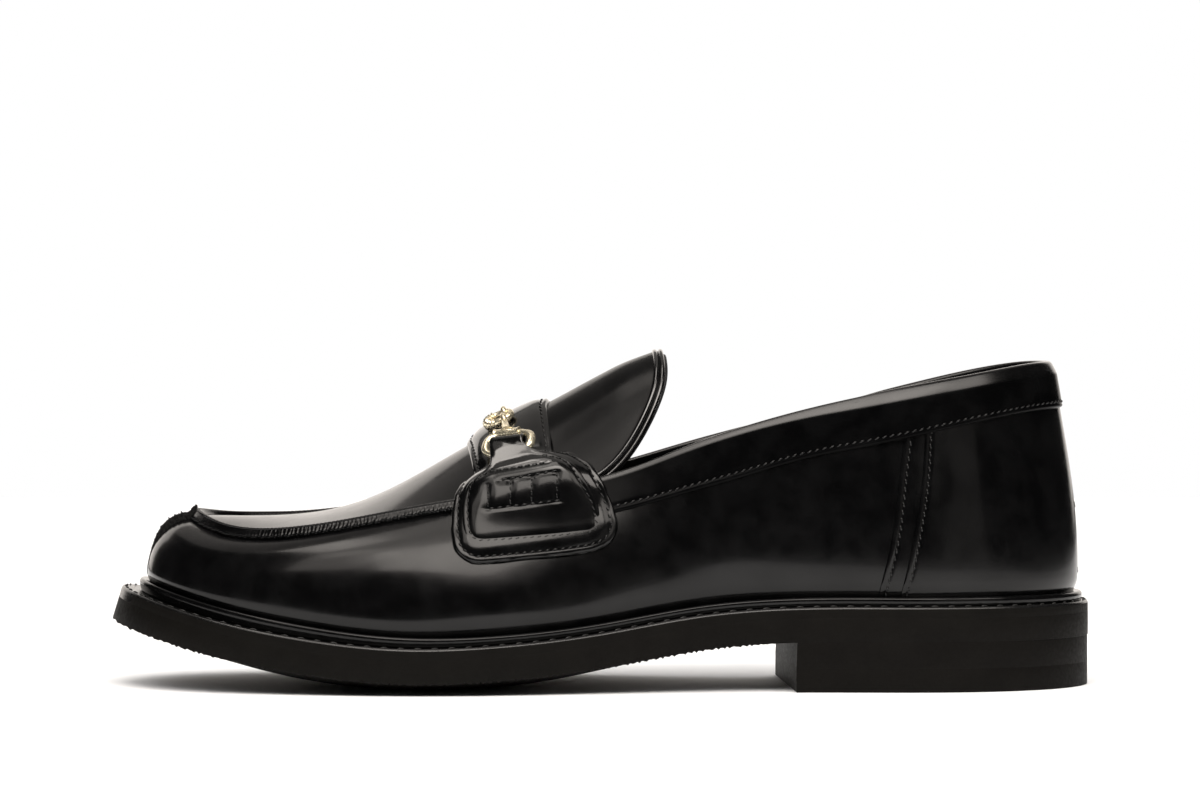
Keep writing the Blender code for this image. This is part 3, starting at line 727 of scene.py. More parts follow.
def pleats(run):  # uneven gathers along the seam, from -1 to 1
    bend = 1.6 * np.sin(run / 5.3) + 1.2 * np.sin(run / 2.1 + 1.7)
    first = np.sin(2 * np.pi * run / seam["pitch"] + bend)
    return 0.6 * first + 0.4 * np.sin(2 * np.pi * run / 2.9 + 2.0 * bend)


# Wall and apron of the upper. Creases: place, height, reach along, reach up and depth of a trough.
upper = {
    "thick": 1.7,
    "tall": 46.0,
    "split": -38.0,
    "front": 640,
    "back": 90,
    "rises": 30,
    "close": (0.06, 9),  # share of the rise, from the edge down, that has this many close rows
    "apron": (150, 121),
    "turnIn": 1.1,
    "turnEnds": (1.5, 6.5),
    "creases": (
        (101.0, 66.0, 5.0, 14.0, 0.35),
        (112.0, 62.0, 6.0, 16.0, -0.25),
        (62.0, 48.0, 16.0, 7.0, 0.3),
        (20.0, 40.0, 9.0, 10.0, 0.25),
        (-64.0, 31.0, 18.0, 6.0, 0.3),
        (-30.0, 26.0, 20.0, 8.0, -0.8),
        (-104.0, 38.0, 10.0, 6.0, 0.2),
    ),
}


def dressedWall(way, rise):
    spot = wall(way, rise)
    out = wallOut(way, rise)
    spot = spot - points(0.0, 0.0, seamSag(way) * np.asarray(rise) ** 5)
    below = (1 - rise) * upper["tall"]
    gathers = 0.6 + pleats(np.interp(way, seamWays, seamRun))
    high = -seam["pleat"] * frontShare(way) * gathers * np.exp(-below / seam["pleatReach"])
    above = spot[..., 2] - soleTop(spot[..., 0]) - gap
    high = high - upper["turnIn"] * (1 - smooth(above, *upper["turnEnds"]))  # in behind the rand
    for x, z, wide, tall, deep in upper["creases"]:
        high = high - deep * np.exp(-(((spot[..., 0] - x) / wide) ** 2) - ((spot[..., 2] - z) / tall) ** 2)
    return spot + out * high[..., None]


def walled(name, net, centre):  # a sheet with a thickness, leather outside and lining inside
    sheet = sewn(netSheet(name, net))
    facing(sheet, centre)
    sheet.data.materials.append(finish["leather"])
    sheet.data.materials.append(finish["lining"])
    chosen(sheet)
    thick = sheet.modifiers.new("thick", "SOLIDIFY")
    thick.thickness = upper["thick"] * mm
    thick.offset = -1.0
    thick.material_offset = 1
    thick.material_offset_rim = 1
    bpy.ops.object.modifier_apply(modifier=thick.name)
    kept(sheet, None, ["upper"])


def makeWall():
    lateral = float(lateralWay(upper["split"]))
    medial = float(medialWay(upper["split"]))
    ways = np.concatenate([
        np.linspace(0.0, lateral, upper["back"] + 1)[:-1],
        np.linspace(lateral, medial, upper["front"] + 1)[:-1],
        np.linspace(medial, 1.0, upper["back"] + 1),
    ])
    close, count = upper["close"]
    falls = np.concatenate([np.linspace(0, close, count)[:-1], np.linspace(close, 1.0, upper["rises"])])
    rises = (1 - falls)[::-1]
    walled("upperWall", dressedWall(ways[:, None], rises[None, :]), (0.0, 0.0, 50.0))


def makeApron():
    rows, columns = upper["apron"]
    nearWays = np.linspace(toeWay, float(lateralWay(last["throat"])), rows)
    farWays = medialWay(rib["edge"](nearWays)[:, 0])
    farWays[0] = toeWay
    shares = 0.5 - 0.5 * np.cos(np.linspace(0, np.pi, columns))
    half = shares <= 0.5
    net = []
    for near, far in zip(nearWays, farWays):
        crown = ridge(rib["edge"](near)[0])
        left = arch(rib["edge"](near)[None], crown[None], 2 * shares[half])
        right = arch(rib["edge"](far)[None], crown[None], 2 - 2 * shares[~half])
        net.append(np.concatenate([left, right]))
    walled("apron", np.array(net), (-80.0, 0.0, -200.0))


makeWall()
makeApron()
print("upper made")


def makeSeam():
    rate = unit(np.gradient(seamEdge, axis=0) * (1.0, 1.0, 0.0))
    out = points(-rate[:, 1], rate[:, 0], 0.0)
    low, high = seam["tall"]
    tall = low + (high - low) * smooth(seamEdge[:, 0], *seam["tallEnds"])
    ragged = 0.05 * np.sin(seamRun * 5.1) + 0.04 * np.sin(seamRun * 8.7 + 1.0)
    tall = tall + ragged - seam["lower"] * smooth(seamEdge[:, 1], *seam["lowerEnds"])
    bases = {"edge": 0.0 * seamRun, "top": tall, "foot": -seamSag(seamWays) - seam["foot"]}
    wave = pleats(seamRun)
    rows = []
    for reach, base, rise, share in seam["profile"]:
        high = bases[base] + rise
        if base == "top":
            high = high - seam["jag"] * share * wave
        step = reach + seam["pleat"] * share * wave
        rows.append(seamEdge + out * step[:, None] + upward * high[:, None])
    kept(strip("apronSeam", np.stack(rows, axis=1)), "leather")


makeSeam()

# Raw seam down the toe. Its profile: reach across, share of the height, and raggedness.
toeSeam = {
    "count": 420,
    "proud": (0.25, 1.95),
    "wide": 1.5,
    "narrow": 0.35,
    "grow": (0.3, 0.8),
    "tip": (0.3, 0.0, 2.2),
    "profile": (
        (-1.0, -0.6, 0.0), (-0.92, 0.1, 0.0), (-0.86, 0.55, 0.5), (-0.7, 0.85, 1.0), (-0.4, 0.95, 0.8),
        (-0.12, 1.0, 1.0), (-0.03, 0.6, 0.3), (0.03, 0.6, -0.3), (0.12, 1.0, -1.0), (0.4, 0.95, -0.8),
        (0.7, 0.85, -1.0), (0.86, 0.55, -0.5), (0.92, 0.1, 0.0), (1.0, -0.6, 0.0),
    ),
}


def frayed(run, row):
    fray = 0.16 * np.sin(run * 3.3 + row) + 0.12 * np.sin(run * 6.9 + 2.3 * row)
    fray = fray + 0.1 * np.sin(run * 11.7 + 3.1 * row)
    return fray + 0.5 * np.maximum(np.sin(run * 2.7 + 1.4 * np.sin(run * 0.8)), 0) ** 4 - 0.1


def makeToeSeam():
    rises = np.linspace(0.03, 1.0, toeSeam["count"])
    ways = np.full_like(rises, toeWay)
    out = wallOut(ways, rises)
    path = dressedWall(ways, rises) + points(*toeSeam["tip"]) * smooth(rises, 0.93, 1.0)[:, None]
    side = unit(np.cross(np.gradient(path, axis=0), out))
    run = lengths(path)
    grow = smooth(rises, *toeSeam["grow"])
    low, more = toeSeam["proud"]
    tall = low + more * grow
    wide = toeSeam["narrow"] + (1 - toeSeam["narrow"]) * grow
    rows = []
    for i, (reach, share, rag) in enumerate(toeSeam["profile"]):
        high = tall * share + frayed(run, i) * abs(rag) * grow
        step = (reach * toeSeam["wide"] + 0.12 * np.sin(run * 4.1 + 1.9 * i) * rag) * wide
        rows.append(path + side * step[:, None] + out * high[:, None])
    kept(strip("toeSeam", np.stack(rows, axis=1)), "raw")


makeToeSeam()
print("seams made")

# Collar band. Drops: place, then depth below the topline. Rolls: place, then height of the rolled edge.
band = {
    "start": -16.0,
    "drops": (
        (-20.0, 9.0), (6.0, 10.4), (24.0, 12.1), (42.0, 13.4), (60.0, 13.4), (78.0, 14.0), (96.0, 14.0),
        (114.0, 13.0), (140.0, 12.6),
    ),
    "proud": 0.85,
    "overCounter": (0.85, 76.0, 90.0),  # it stands this much further off, from and to these places
    "inside": 11.0,
    "thick": 3.3,
    "count": 420,
    "lip": 0.9,  # height of the rolled edge above the wall's own edge
    "rolls": (
        (-20.0, 1.2), (10.0, 1.3), (24.0, 1.5), (49.0, 2.1), (64.0, 2.8), (79.0, 3.6), (100.0, 3.8),
        (140.0, 3.4),
    ),
    "slopes": (20.0, 32.0),  # lean of the rolled edge at its foot and at its end
    "crest": 0.85,  # height of the edge's round top as a share of its width
    "round": 0.9,
    "sunk": 0.1,
    "buried": 0.35,
    "groove": (0.22, 0.45),  # depth and half width of the stitched line
    "stitch": 1.9,
    "thread": (2.3, (0.85, 0.26, 0.3), 0.35),  # pitch, size and slant
    "threadSunk": 0.12,
}
bandWays = np.linspace(
    float(lateralWay(band["start"])), float(medialWay(band["start"])) - 1.0, band["count"]
)
bandEdge = rib["edge"](bandWays)[:, 0]
bandDeep = rowCurve(band["drops"])(bandEdge)
bandRoll = rowCurve(band["rolls"])(bandEdge)


def riseUnder(ways, drop):  # rise of the wall this far below its edge
    rises = np.linspace(1.0, 0.3, 140)
    face = wall(ways[:, None], rises[None, :])
    fall = face[:, :1, 2] - face[:, :, 2]
    return np.array([np.interp(d, f, rises) for d, f in zip(np.broadcast_to(drop, ways.shape), fall)])


bandLow = riseUnder(bandWays, bandDeep)


def bandProud(x):
    more, start, end = band["overCounter"]
    return band["proud"] + more * smooth(x, start, end)


def rolledIn(below, lean):  # inward shift of the rolled edge, this far below its end
    foot, end = (math.tan(math.radians(slope)) for slope in band["slopes"])
    deep = np.maximum(bandRoll - below, 0)[:, None]
    reach = np.broadcast_to(below, bandRoll.shape)[:, None] + deep * np.linspace(0, 1, 33)
    steep = foot + (end - foot) * (1 - reach / bandRoll[:, None]) - lean[:, None]
    steep = np.maximum(steep, 0) * smooth(bandRoll[:, None] - reach, 0.0, 0.5)
    return (steep * deep).mean(axis=1)


def bandFace(flat, lean):  # outer face, from its foot up to the end of the rolled edge
    deep, wide = band["groove"]
    rows = []
    for share in 0.5 - 0.5 * np.cos(np.linspace(0, np.pi, 32)):
        rise = bandLow + (1 - bandLow) * share
        spot = dressedWall(bandWays, rise)
        up = share * bandDeep
        high = rounded(up, 1.0, band["round"]) * bandProud(spot[:, 0])
        high = high - deep * dip(up, band["stitch"], wide) - band["sunk"]
        high = np.where(share == 0, -band["buried"], high)
        inward = rolledIn(bandDeep - up + band["lip"], lean)
        rows.append(spot + wallOut(bandWays, rise) * high[:, None] - flat * inward[:, None])
    top = rows[-1]
    for rise in np.linspace(0, band["lip"], 6)[1:]:
        inward = rolledIn(band["lip"] - rise, lean) - rolledIn(band["lip"], lean) + lean * rise
        rows.append(top + upward * rise - flat * inward[:, None])
    return rows


def markRubbed(piece, top):  # the rolled edge is rubbed bright
    spots = readAll(piece.data.vertices, "co") / mm
    near = ((spots[:, None, :2] - top[None, :, :2]) ** 2).sum(axis=2).argmin(axis=1)
    share = smooth(spots[:, 2] - top[near, 2] + bandRoll[near], 0.0, 1.0)
    mark = piece.data.attributes.new("rubbed", "FLOAT", "POINT")
    mark.data.foreach_set("value", share.astype(np.float32))


def makeBand():
    outside = wallOut(bandWays, np.ones_like(bandWays))
    flatSize = np.hypot(outside[:, 0], outside[:, 1])
    flat = outside * np.array([1.0, 1.0, 0.0]) / flatSize[:, None]
    rows = bandFace(flat, outside[:, 2] / flatSize)
    top = rows[-1]
    deep = band["thick"] - band["proud"]
    back = wall(bandWays, np.ones_like(bandWays)) - outside * deep
    start = math.atan(math.tan(math.radians(band["slopes"][1])) * band["crest"])
    wide = ((top - back) * flat).sum(axis=1)[:, None] / (1 + math.cos(start))
    tall = band["crest"] * wide
    centre = top - flat * wide * math.cos(start) - upward * tall * math.sin(start)
    for turn in np.linspace(start, np.pi, 14)[1:]:
        rows.append(centre + flat * wide * math.cos(turn) + upward * tall * math.sin(turn))
    inner = riseUnder(bandWays, band["inside"])
    for share in np.linspace(0, 1, 9)[1:]:
        rise = 1 + (inner - 1) * share
        inset = deep - 0.9 * smooth(share, 0.6, 1.0)
        rows.append(wall(bandWays, rise) - wallOut(bandWays, rise) * inset)
    piece = strip("collarBand", np.stack(rows, axis=1))
    markRubbed(piece, top)
    kept(piece, "collarLeather")
    rise = bandLow + (1 - bandLow) * band["stitch"] / bandDeep
    spot = dressedWall(bandWays, rise)
    out = wallOut(bandWays, rise)
    proud = bandProud(spot[:, 0]) - band["threadSunk"]
    return stitchRow(spot + out * proud[:, None], out, *band["thread"])


bandStitches = makeBand()

# Overlaid counter at the heel. Edges: height, then place of the front edges of its two layers.
counter = {
    "edges": (
        (26.0, 82.9, 89.4), (32.2, 84.6, 91.3), (42.3, 87.4, 93.9), (57.4, 89.6, 96.6),
        (73.0, 91.9, 97.6), (84.0, 93.0, 98.2),
    ),
    "foot": 0.03,
    "underBand": 0.03,
    "rows": 60,
    "near": 400,  # ways from the back of the heel among which its front edges are looked for
    "long": 210.0,
    "layers": {"counterStrip": (1, 0.0, 0.55), "counterPanel": (2, 0.5, 0.6)},  # edge, base and thickness
    "round": 0.6,
    "groove": (0.2, 0.45),
    "stitch": 2.0,
    "threadProud": 0.5,
    "thread": (2.3, (0.85, 0.26, 0.3), 0.35),
}


def counterNet(column, base):
    rises = np.linspace(0.02, 1.0, 200)
    edges = np.array(counter["edges"])
    line = cubic(edges[:, 0], edges[:, column])
    ends = []
    for ways in (lateralWays[: counter["near"]], medialWays[: counter["near"]]):
        face = wall(ways[:, None], rises[None, :])
        want = line(face[len(ways) // 2, :, 2])
        ends.append(np.array([np.interp(-want[j], -face[:, j, 0], ways) for j in range(len(rises))]))
    final = np.interp(0.5 * (ends[0] + 1 - ends[1]), bandWays[::-1], bandLow[::-1])
    shares = lines(counter["long"], 0.12, 2.4)
    ups = np.linspace(0.0, 1.0, counter["rows"])
    rise = counter["foot"] + final.mean() * ups
    lateral = np.interp(rise, rises, ends[0])
    medial = np.interp(rise, rises, ends[1]) - 1.0
    way = lateral[None, :] + (medial - lateral)[None, :] * shares[:, None]
    top = np.interp(way[:, -1], bandWays[::-1], bandLow[::-1]) + counter["underBand"]
    rise = counter["foot"] + (top - counter["foot"])[:, None] * ups[None, :]
    fade = 1 - 0.75 * smooth(np.minimum(shares, 1 - shares), 0.02, 0.2)
    return dressedWall(way, rise) + wallOut(way, rise) * (base * fade)[:, None, None]


def makeCounter(name):
    column, base, tall = counter["layers"][name]
    deep, wide = counter["groove"]
    net = counterNet(column, base)
    side = np.sign((netOut(net, 1.0) * (net - (110.0, 0.0, 50.0))).sum())
    edge = np.minimum(np.linalg.norm(net - net[:1], axis=-1), np.linalg.norm(net - net[-1:], axis=-1))
    high = rounded(edge, tall, counter["round"]) - deep * dip(edge, counter["stitch"], wide)
    kept(pillow(name, net, side, lambda reach: high), "leather")
    out = netOut(net, side)
    rows = []
    for end in (0, -1):
        off = np.linalg.norm(net[:, counter["rows"] // 3] - net[end, counter["rows"] // 3], axis=1)
        k = int(np.argmin(np.abs(off - counter["stitch"])))
        rows.append(stitchRow(net[k] + out[k] * counter["threadProud"], out[k], *counter["thread"]))
    return rows


stitches = makeCounter("counterStrip") + makeCounter("counterPanel") + [bandStitches]
print("collar and counter made")


# Section of the upper under the saddle strap.
girdle = {"x": np.linspace(-56.0, 16.0, 37), "ways": np.linspace(-74.0, 62.0, 137)}


def girdleHalf(x, medial):
    ways = medialWays if medial else lateralWays
    way = medialWay(x) if medial else lateralWay(x)
    over = arch(rib["edge"](way)[None, :], ridge(np.array([x])), np.linspace(1, 0, 25))
    rises = np.linspace(1, 0.02, 30)[1:]
    face = wall(ways[:, None], rises[None, :])
    rows = [[np.interp(-x, -face[:, j, 0], face[:, j, i]) for i in range(3)] for j in range(len(rises))]
    line = np.concatenate([over.reshape(-1, 3), np.array(rows)])
    line[:, 0] = x
    return lengths(line), line


def makeGirdle():
    grid = []
    for x in girdle["x"]:
        nearWay, near = girdleHalf(x, False)
        farWay, far = girdleHalf(x, True)
        ways = np.concatenate([-nearWay[:0:-1], farWay])
        line = np.concatenate([near[:0:-1], far])
        row = between(girdle["ways"], ways, line)
        for i in (1, 2):
            padded = np.pad(row[:, i], 2, mode="reflect", reflect_type="odd")
            row[:, i] = np.convolve(padded, np.ones(5) / 5, mode="valid")
        grid.append(row)
    girdle["spot"] = np.array(grid)
    girdle["out"] = netOut(girdle["spot"], 1.0)


makeGirdle()


def cellOf(value, knots):  # number of the cell of an even row, and the share of the way through it
    place = np.clip((value - knots[0]) / (knots[1] - knots[0]), 0, len(knots) - 1.001)
    cell = place.astype(int)
    return cell, (place - cell)[..., None]


def girdleRead(field, x, way):
    i, p = cellOf(x, girdle["x"])
    j, q = cellOf(way, girdle["ways"])
    grid = girdle[field]
    first = grid[i, j] * (1 - q) + grid[i, j + 1] * q
    second = grid[i + 1, j] * (1 - q) + grid[i + 1, j + 1] * q
    return first * (1 - p) + second * p


def overLeather(x, way, high):
    x, way, high = np.broadcast_arrays(*(np.asarray(value, float) for value in (x, way, high)))
    base = np.array(x)
    for _ in range(6):
        base = x - girdleRead("out", base, way)[..., 0] * high
    return girdleRead("spot", base, way) + girdleRead("out", base, way) * high[..., None]


# Saddle strap, from its middle down: way down and place of its front edge, then of its back edge.
strap = {
    "middle": -6.5,
    "base": 0.1,
    "dome": 1.2,
    "domeEnds": (18.0, 30.0),
    "liftEnds": (23.0, 32.0),
    "tall": 2.0,
    "fall": 0.85,
    "fallReach": 5.2,
    "round": 0.8,
    "rowStep": 4.0,
    "net": (0.16, 1.1),  # spacing of its points at the rim and inside
    "groove": (0.3, 0.45),
    "stitch": 2.1,
    "threadDrop": 0.1,
    "thread": (2.3, (0.8, 0.26, 0.32), 0.3),
    "rows": (
        (0.0, -40.3, 0.0, -15.9), (13.5, -39.0, 14.0, -14.8), (23.5, -37.9, 25.0, -13.7),
        (25.5, -39.2, 27.3, -11.8), (28.0, -41.6, 29.6, -7.8), (33.5, -43.6, 36.0, -2.3),
        (38.7, -44.4, 43.0, 1.3), (45.0, -44.6, 50.7, 4.2), (50.0, -43.9, 56.5, 5.4),
        (54.0, -41.8, 60.5, 4.4), (57.0, -38.4, 62.4, 1.8), (58.3, -35.0, 63.0, -2.5),
    ),
}

# How far the tab stands off the leather: way down, then height.
standOff = {
    "rows": (
        (12.0, 8.3), (20.6, 8.2), (22.6, 7.9), (25.0, 7.4), (28.0, 6.8), (31.5, 6.2), (34.0, 6.2),
        (36.0, 5.9), (38.0, 5.2), (40.0, 4.4), (43.0, 3.2), (46.0, 2.2), (49.0, 1.5), (52.0, 1.1),
        (56.0, 0.9), (60.0, 0.8), (64.0, 0.8),
    ),
    "flat": 1.0,
    "edge": 0.55,
    "edgeEnds": (0.4, 1.05),
    "lean": 0.12,
    "leanEnds": (30.0, 36.0),
    "leanMiddle": -22.0,
    "layer": 1.5,
}
standLine = rowCurve(standOff["rows"])


def tabHigh(x, down):
    rows = np.array(strap["rows"])
    front = np.interp(down, rows[:, 0], rows[:, 1])
    back = np.interp(down, rows[:, 2], rows[:, 3])
    side = np.abs(2 * (x - front) / (back - front) - 1)
    lean = standOff["lean"] * smooth(down, *standOff["leanEnds"]) * (standOff["leanMiddle"] - x)
    ahead = np.clip(down + lean, standOff["rows"][0][0], standOff["rows"][-1][0])
    more = np.maximum(standLine(ahead) - standOff["flat"], 0)
    return standOff["flat"] + more * (1 - standOff["edge"] * smooth(side, *standOff["edgeEnds"]))


def strapHigh(x, down):
    lifted = smooth(down, *strap["liftEnds"])
    under = np.maximum(tabHigh(x, down) - standOff["layer"], 0.0)
    front = strap["rows"][0][1]
    back = strap["rows"][0][3]
    side = 2 * (x - front) / (back - front) - 1
    dome = strap["dome"] * (1 - np.clip(side, -1, 1) ** 2) * (1 - smooth(down, *strap["domeEnds"]))
    return strap["base"] + dome + lifted * under


def filled(rows, step):  # more rows between these, so that none is further apart than the step
    made = [rows[0]]
    for row in rows[1:]:
        count = math.ceil((row[0] - made[-1][0]) / step)
        made += list(np.linspace(made[-1], row, count + 1)[1:])
    return np.array(made)


def makeStrap():
    rows = filled(np.array(strap["rows"]), strap["rowStep"])
    full = np.concatenate([rows[::-1] * (-1, 1, -1, 1), rows[1:]])
    share = np.linspace(0, 1, 13)
    way = strap["middle"] + full[:, None, 0] + (full[:, 2] - full[:, 0])[:, None] * share
    x = full[:, None, 1] + (full[:, 3] - full[:, 1])[:, None] * share
    down = np.abs(way - strap["middle"])
    net = splineNet(overLeather(x, way, strapHigh(x, down)), *strap["net"])
    side = np.sign((netOut(net, 1.0) * (net - (-25.0, 0.0, 20.0))).sum())

    deep, wide = strap["groove"]

    def high(reach):
        fall = strap["fall"] * (1 - smooth(reach, 0.0, strap["fallReach"]))
        return rounded(reach, strap["tall"], strap["round"]) - fall - deep * dip(reach, strap["stitch"], wide)

    piece = pillow("saddleStrap", net, side, high)
    kept(piece, "strapLeather", ["saddle_strap"])
    threadHigh = strap["tall"] - 0.66 * strap["fall"] - strap["threadDrop"]
    path, out = rimPath(net, side, strap["stitch"], threadHigh)
    path = np.vstack([path, path[:1]])
    out = np.vstack([out, out[:1]])
    stitches.append(stitchRow(path, out, *strap["thread"]))


makeStrap()

# Bit: bar and sleeve of each link are a way down from the middle of the strap and a height.
bit = {
    "ringPlace": -30.6,
    "place": -28.0,
    "skew": 0.4,
    "shift": 1.5,
    "bar": {-1: (25.0, 5.9), 1: (25.0, 5.9)},
    "sleeve": {-1: (16.0, 6.4), 1: (16.0, 4.8)},
    "ringHigh": 4.7,
    "ringWay": 3.0,
    "ringLong": 3.9,
    "ringRadius": 3.0,
    "ringWire": 1.0,
    "ringFlat": 1.25,
    "ribCount": 22.0,
    "eyeBack": 0.45,
    "eyeRadius": 1.3,
    "eyeLong": 1.15,
    "eyeWire": 0.9,
    "loopHalf": 7.3,
    "loopPower": 2.5,
    "loopWire": 1.0,
    "lobe": 0.35,
    "sleeveHalf": 4.1,
    "sleeveRadius": 1.5,
    "stem": 1.3,
}


def bitSpot(hand, down, high, back=0.0, place=None):
    place = bit["place"] if place is None else place
    return overLeather(place + back, strap["middle"] + hand * (down + bit["skew"] * back), high)


def bitAxis(hand, down, high, near=3.0):
    return unit(bitSpot(hand, down, high, near) - bitSpot(hand, down, high, -near))


def frameOf(u, v):  # three unit vectors, the second made square to the first
    u = unit(u)
    v = unit(v - u * np.dot(v, u))
    return np.stack([u, v, np.cross(u, v)])


def bitLoop(hand):
    sleeve = bitSpot(hand, *bit["sleeve"][hand])
    axis = bitAxis(hand, *bit["sleeve"][hand])
    down = bitSpot(hand, *bit["bar"][hand]) - sleeve
    down = down - axis * np.dot(down, axis)
    return frameOf(down, axis), sleeve + down * 0.5 + axis * bit["shift"], 0.5 * np.linalg.norm(down)


def oval(turn, radii, power):
    x = radii[0] * np.sign(np.cos(turn)) * np.abs(np.cos(turn)) ** (2 / power)
    y = radii[1] * np.sign(np.sin(turn)) * np.abs(np.sin(turn)) ** (2 / power)
    return x, y


def ringPlane(near=3.0):  # middle of the ring and its own three directions
    centre, far, close, beside = [
        bitSpot(-1, bit["ringWay"] + down, bit["ringHigh"], place=bit["ringPlace"] + back)
        for down, back in ((0.0, 0.0), (-near, 0.0), (near, 0.0), (0.0, near))
    ]
    return centre, frameOf(far - close, beside - centre)


def makeRing():
    centre, flat = ringPlane()
    turn = circle(240)
    x, y = oval(turn, (bit["ringRadius"], bit["ringLong"]), 2.0)
    path = centre + x[:, None] * flat[0] + y[:, None] * flat[1]
    ribbed = smooth(-np.sin(turn), 0.25, 0.45)
    radii = bit["ringWire"] * (1 + ribbed * (0.3 + 0.2 * np.sin(turn * bit["ribCount"])))
    piece = tube("bitRing", path, radii, flat[2], 12, True, bit["ringFlat"])
    kept(piece, "gold", ["bit_ring"])


def makeLink(name, node, hand):
    centre, flat = ringPlane()
    eye = centre + flat[0] * (hand * bit["ringRadius"] * math.cos(bit["eyeBack"]))
    eye = eye + flat[1] * (bit["ringLong"] * math.sin(bit["eyeBack"]))
    sleeve = bitSpot(hand, *bit["sleeve"][hand])
    axis = bitAxis(hand, *bit["sleeve"][hand])
    loop, middle, half = bitLoop(hand)
    x, y = oval(circle(160), (half, bit["loopHalf"]), bit["loopPower"])
    path = middle + x[:, None] * loop[0] + y[:, None] * loop[1]
    lobe = smooth(np.abs(y), 4.3, 6.6) * smooth(-x, -half, -0.1 * half)
    parts = [tube(name + "Loop", path, bit["loopWire"] * (1 + bit["lobe"] * lobe), loop[2], 14, True)]
    run = np.linspace(-1, 1, 41) * bit["sleeveHalf"]
    flare = 1 + 0.14 * smooth(np.abs(run), 3.5, 3.9) + 0.1 * dip(run, 0.0, 1.6)
    path = sleeve + run[:, None] * axis
    parts.append(tube(name + "Sleeve", path, bit["sleeveRadius"] * flare, loop[2], 20))
    pull = unit(eye - sleeve)
    share = np.linspace(0, 1, 24)
    path = sleeve + pull * 0.1 + (eye - pull * (bit["eyeRadius"] - 0.1) - sleeve)[None] * share[:, None]
    taper = bit["stem"] * (0.85 + 0.9 * np.exp(-share * 4.5))
    parts.append(tube(name + "Stem", path, taper, loop[2], 16))
    upright = frameOf(pull, np.cross(pull, axis))
    x, y = oval(circle(48), (bit["eyeLong"] * bit["eyeRadius"], bit["eyeRadius"]), 2.0)
    path = eye + x[:, None] * upright[0] + y[:, None] * upright[1]
    parts.append(tube(name + "Eye", path, bit["eyeWire"], upright[2], 12, True))
    kept(united(name, parts), "gold", [node], 40)


makeRing()
makeLink("bitLateral", "bit_link_lateral", -1)
makeLink("bitMedial", "bit_link_medial", 1)
print("strap and bit made")

# Tab, from below its fold: way down and place of its front edge, then of its back edge. Each stitched
# line across it: way down, slope, and the places where it starts and ends.
tab = {
    "neckFront": -32.8,
    "neckBack": -22.8,
    "turns": np.linspace(295.0, 72.0, 13),
    "foldRadius": 1.2,
    "crest": (20.4, 7.0),
    "panelEnds": (28.0, 32.0),
    "tall": 1.35,
    "neckTall": 0.6,
    "fall": 0.5,
    "fallReach": 4.6,
    "round": 0.65,
    "under": 0.1,
    "net": (0.16, 0.55),
    "groove": (0.28, 0.42),
    "stitch": 1.9,
    "threadDrop": 0.1,
    "thread": (2.2, (0.8, 0.25, 0.3), 0.3),
    "threadStart": 28.5,
    "rows": (
        (24.6, -33.0, 24.9, -22.0), (26.4, -33.0, 26.8, -20.4), (28.6, -33.4, 28.6, -17.4),
        (30.4, -36.0, 31.0, -12.6), (32.6, -39.2, 34.6, -8.6), (37.0, -41.0, 41.0, -4.4),
        (41.8, -41.3, 47.5, -1.0), (46.0, -40.9, 53.0, 0.4), (49.6, -39.8, 56.5, 1.0),
        (52.2, -37.4, 58.4, -0.2), (53.4, -34.4, 59.0, -2.6),
    ),
    "neckRow": (31.8, 0.13, -33.6, -16.4),
    "boxTop": (36.0, 0.1, -29.9, -12.4),
    "boxLow": (42.4, 0.127, -33.6, -11.6),
    "boxLines": (-33.5, -26.8, -20.5, -12.9),
    "furrows": {"neckRow": (3.0, 0.22), "boxTop": (1.2, 0.22), "boxLow": (1.2, 0.05)},  # fade, soft depth
    "threads": {
        "neckRow": (2.3, (0.85, 0.27, 0.3), 0.12),
        "boxTop": (2.4, (0.85, 0.27, 0.3), 0.12),
        "boxLow": (2.4, (0.85, 0.27, 0.3), 0.12),
        "boxLines": (2.2, (0.8, 0.24, 0.26), 0.12),
    },
}


def boxWay(key, x):  # way down of a stitched line across the tab
    down, slope, front, back = tab[key]
    return down + slope * (np.asarray(x) - front)


def furrow(off, sharp, soft):  # a stitched line and the soft dip about it
    return sharp * dip(off, 0.0, 0.35) + soft * dip(off, 0.0, 1.3)


def quilted(x, down):  # soft furrows along the stitched lines
    deep = 0.0 * x
    for key, (fade, soft) in tab["furrows"].items():
        _, _, front, back = tab[key]
        within = smooth(x, front - fade, front) * (1 - smooth(x, back, back + fade))
        deep = deep + within * furrow(down - boxWay(key, x), 0.25, soft)
    top = boxWay("boxTop", x)
    low = boxWay("boxLow", x)
    within = smooth(down, top - 0.4, top + 0.4) * (1 - smooth(down, low - 0.4, low + 0.4))
    for place in tab["boxLines"]:
        deep = deep + within * furrow(x - place, 0.18, 0.22)
    return deep


def tabRow(hand, x, down, thread):
    base = overLeather(x, strap["middle"] + hand * down, tabHigh(x, down))
    spots = overLeather(x, strap["middle"] + hand * down, tabHigh(x, down) + tab["tall"] - 0.22)
    return stitchRow(spots, unit(spots - base), *thread)


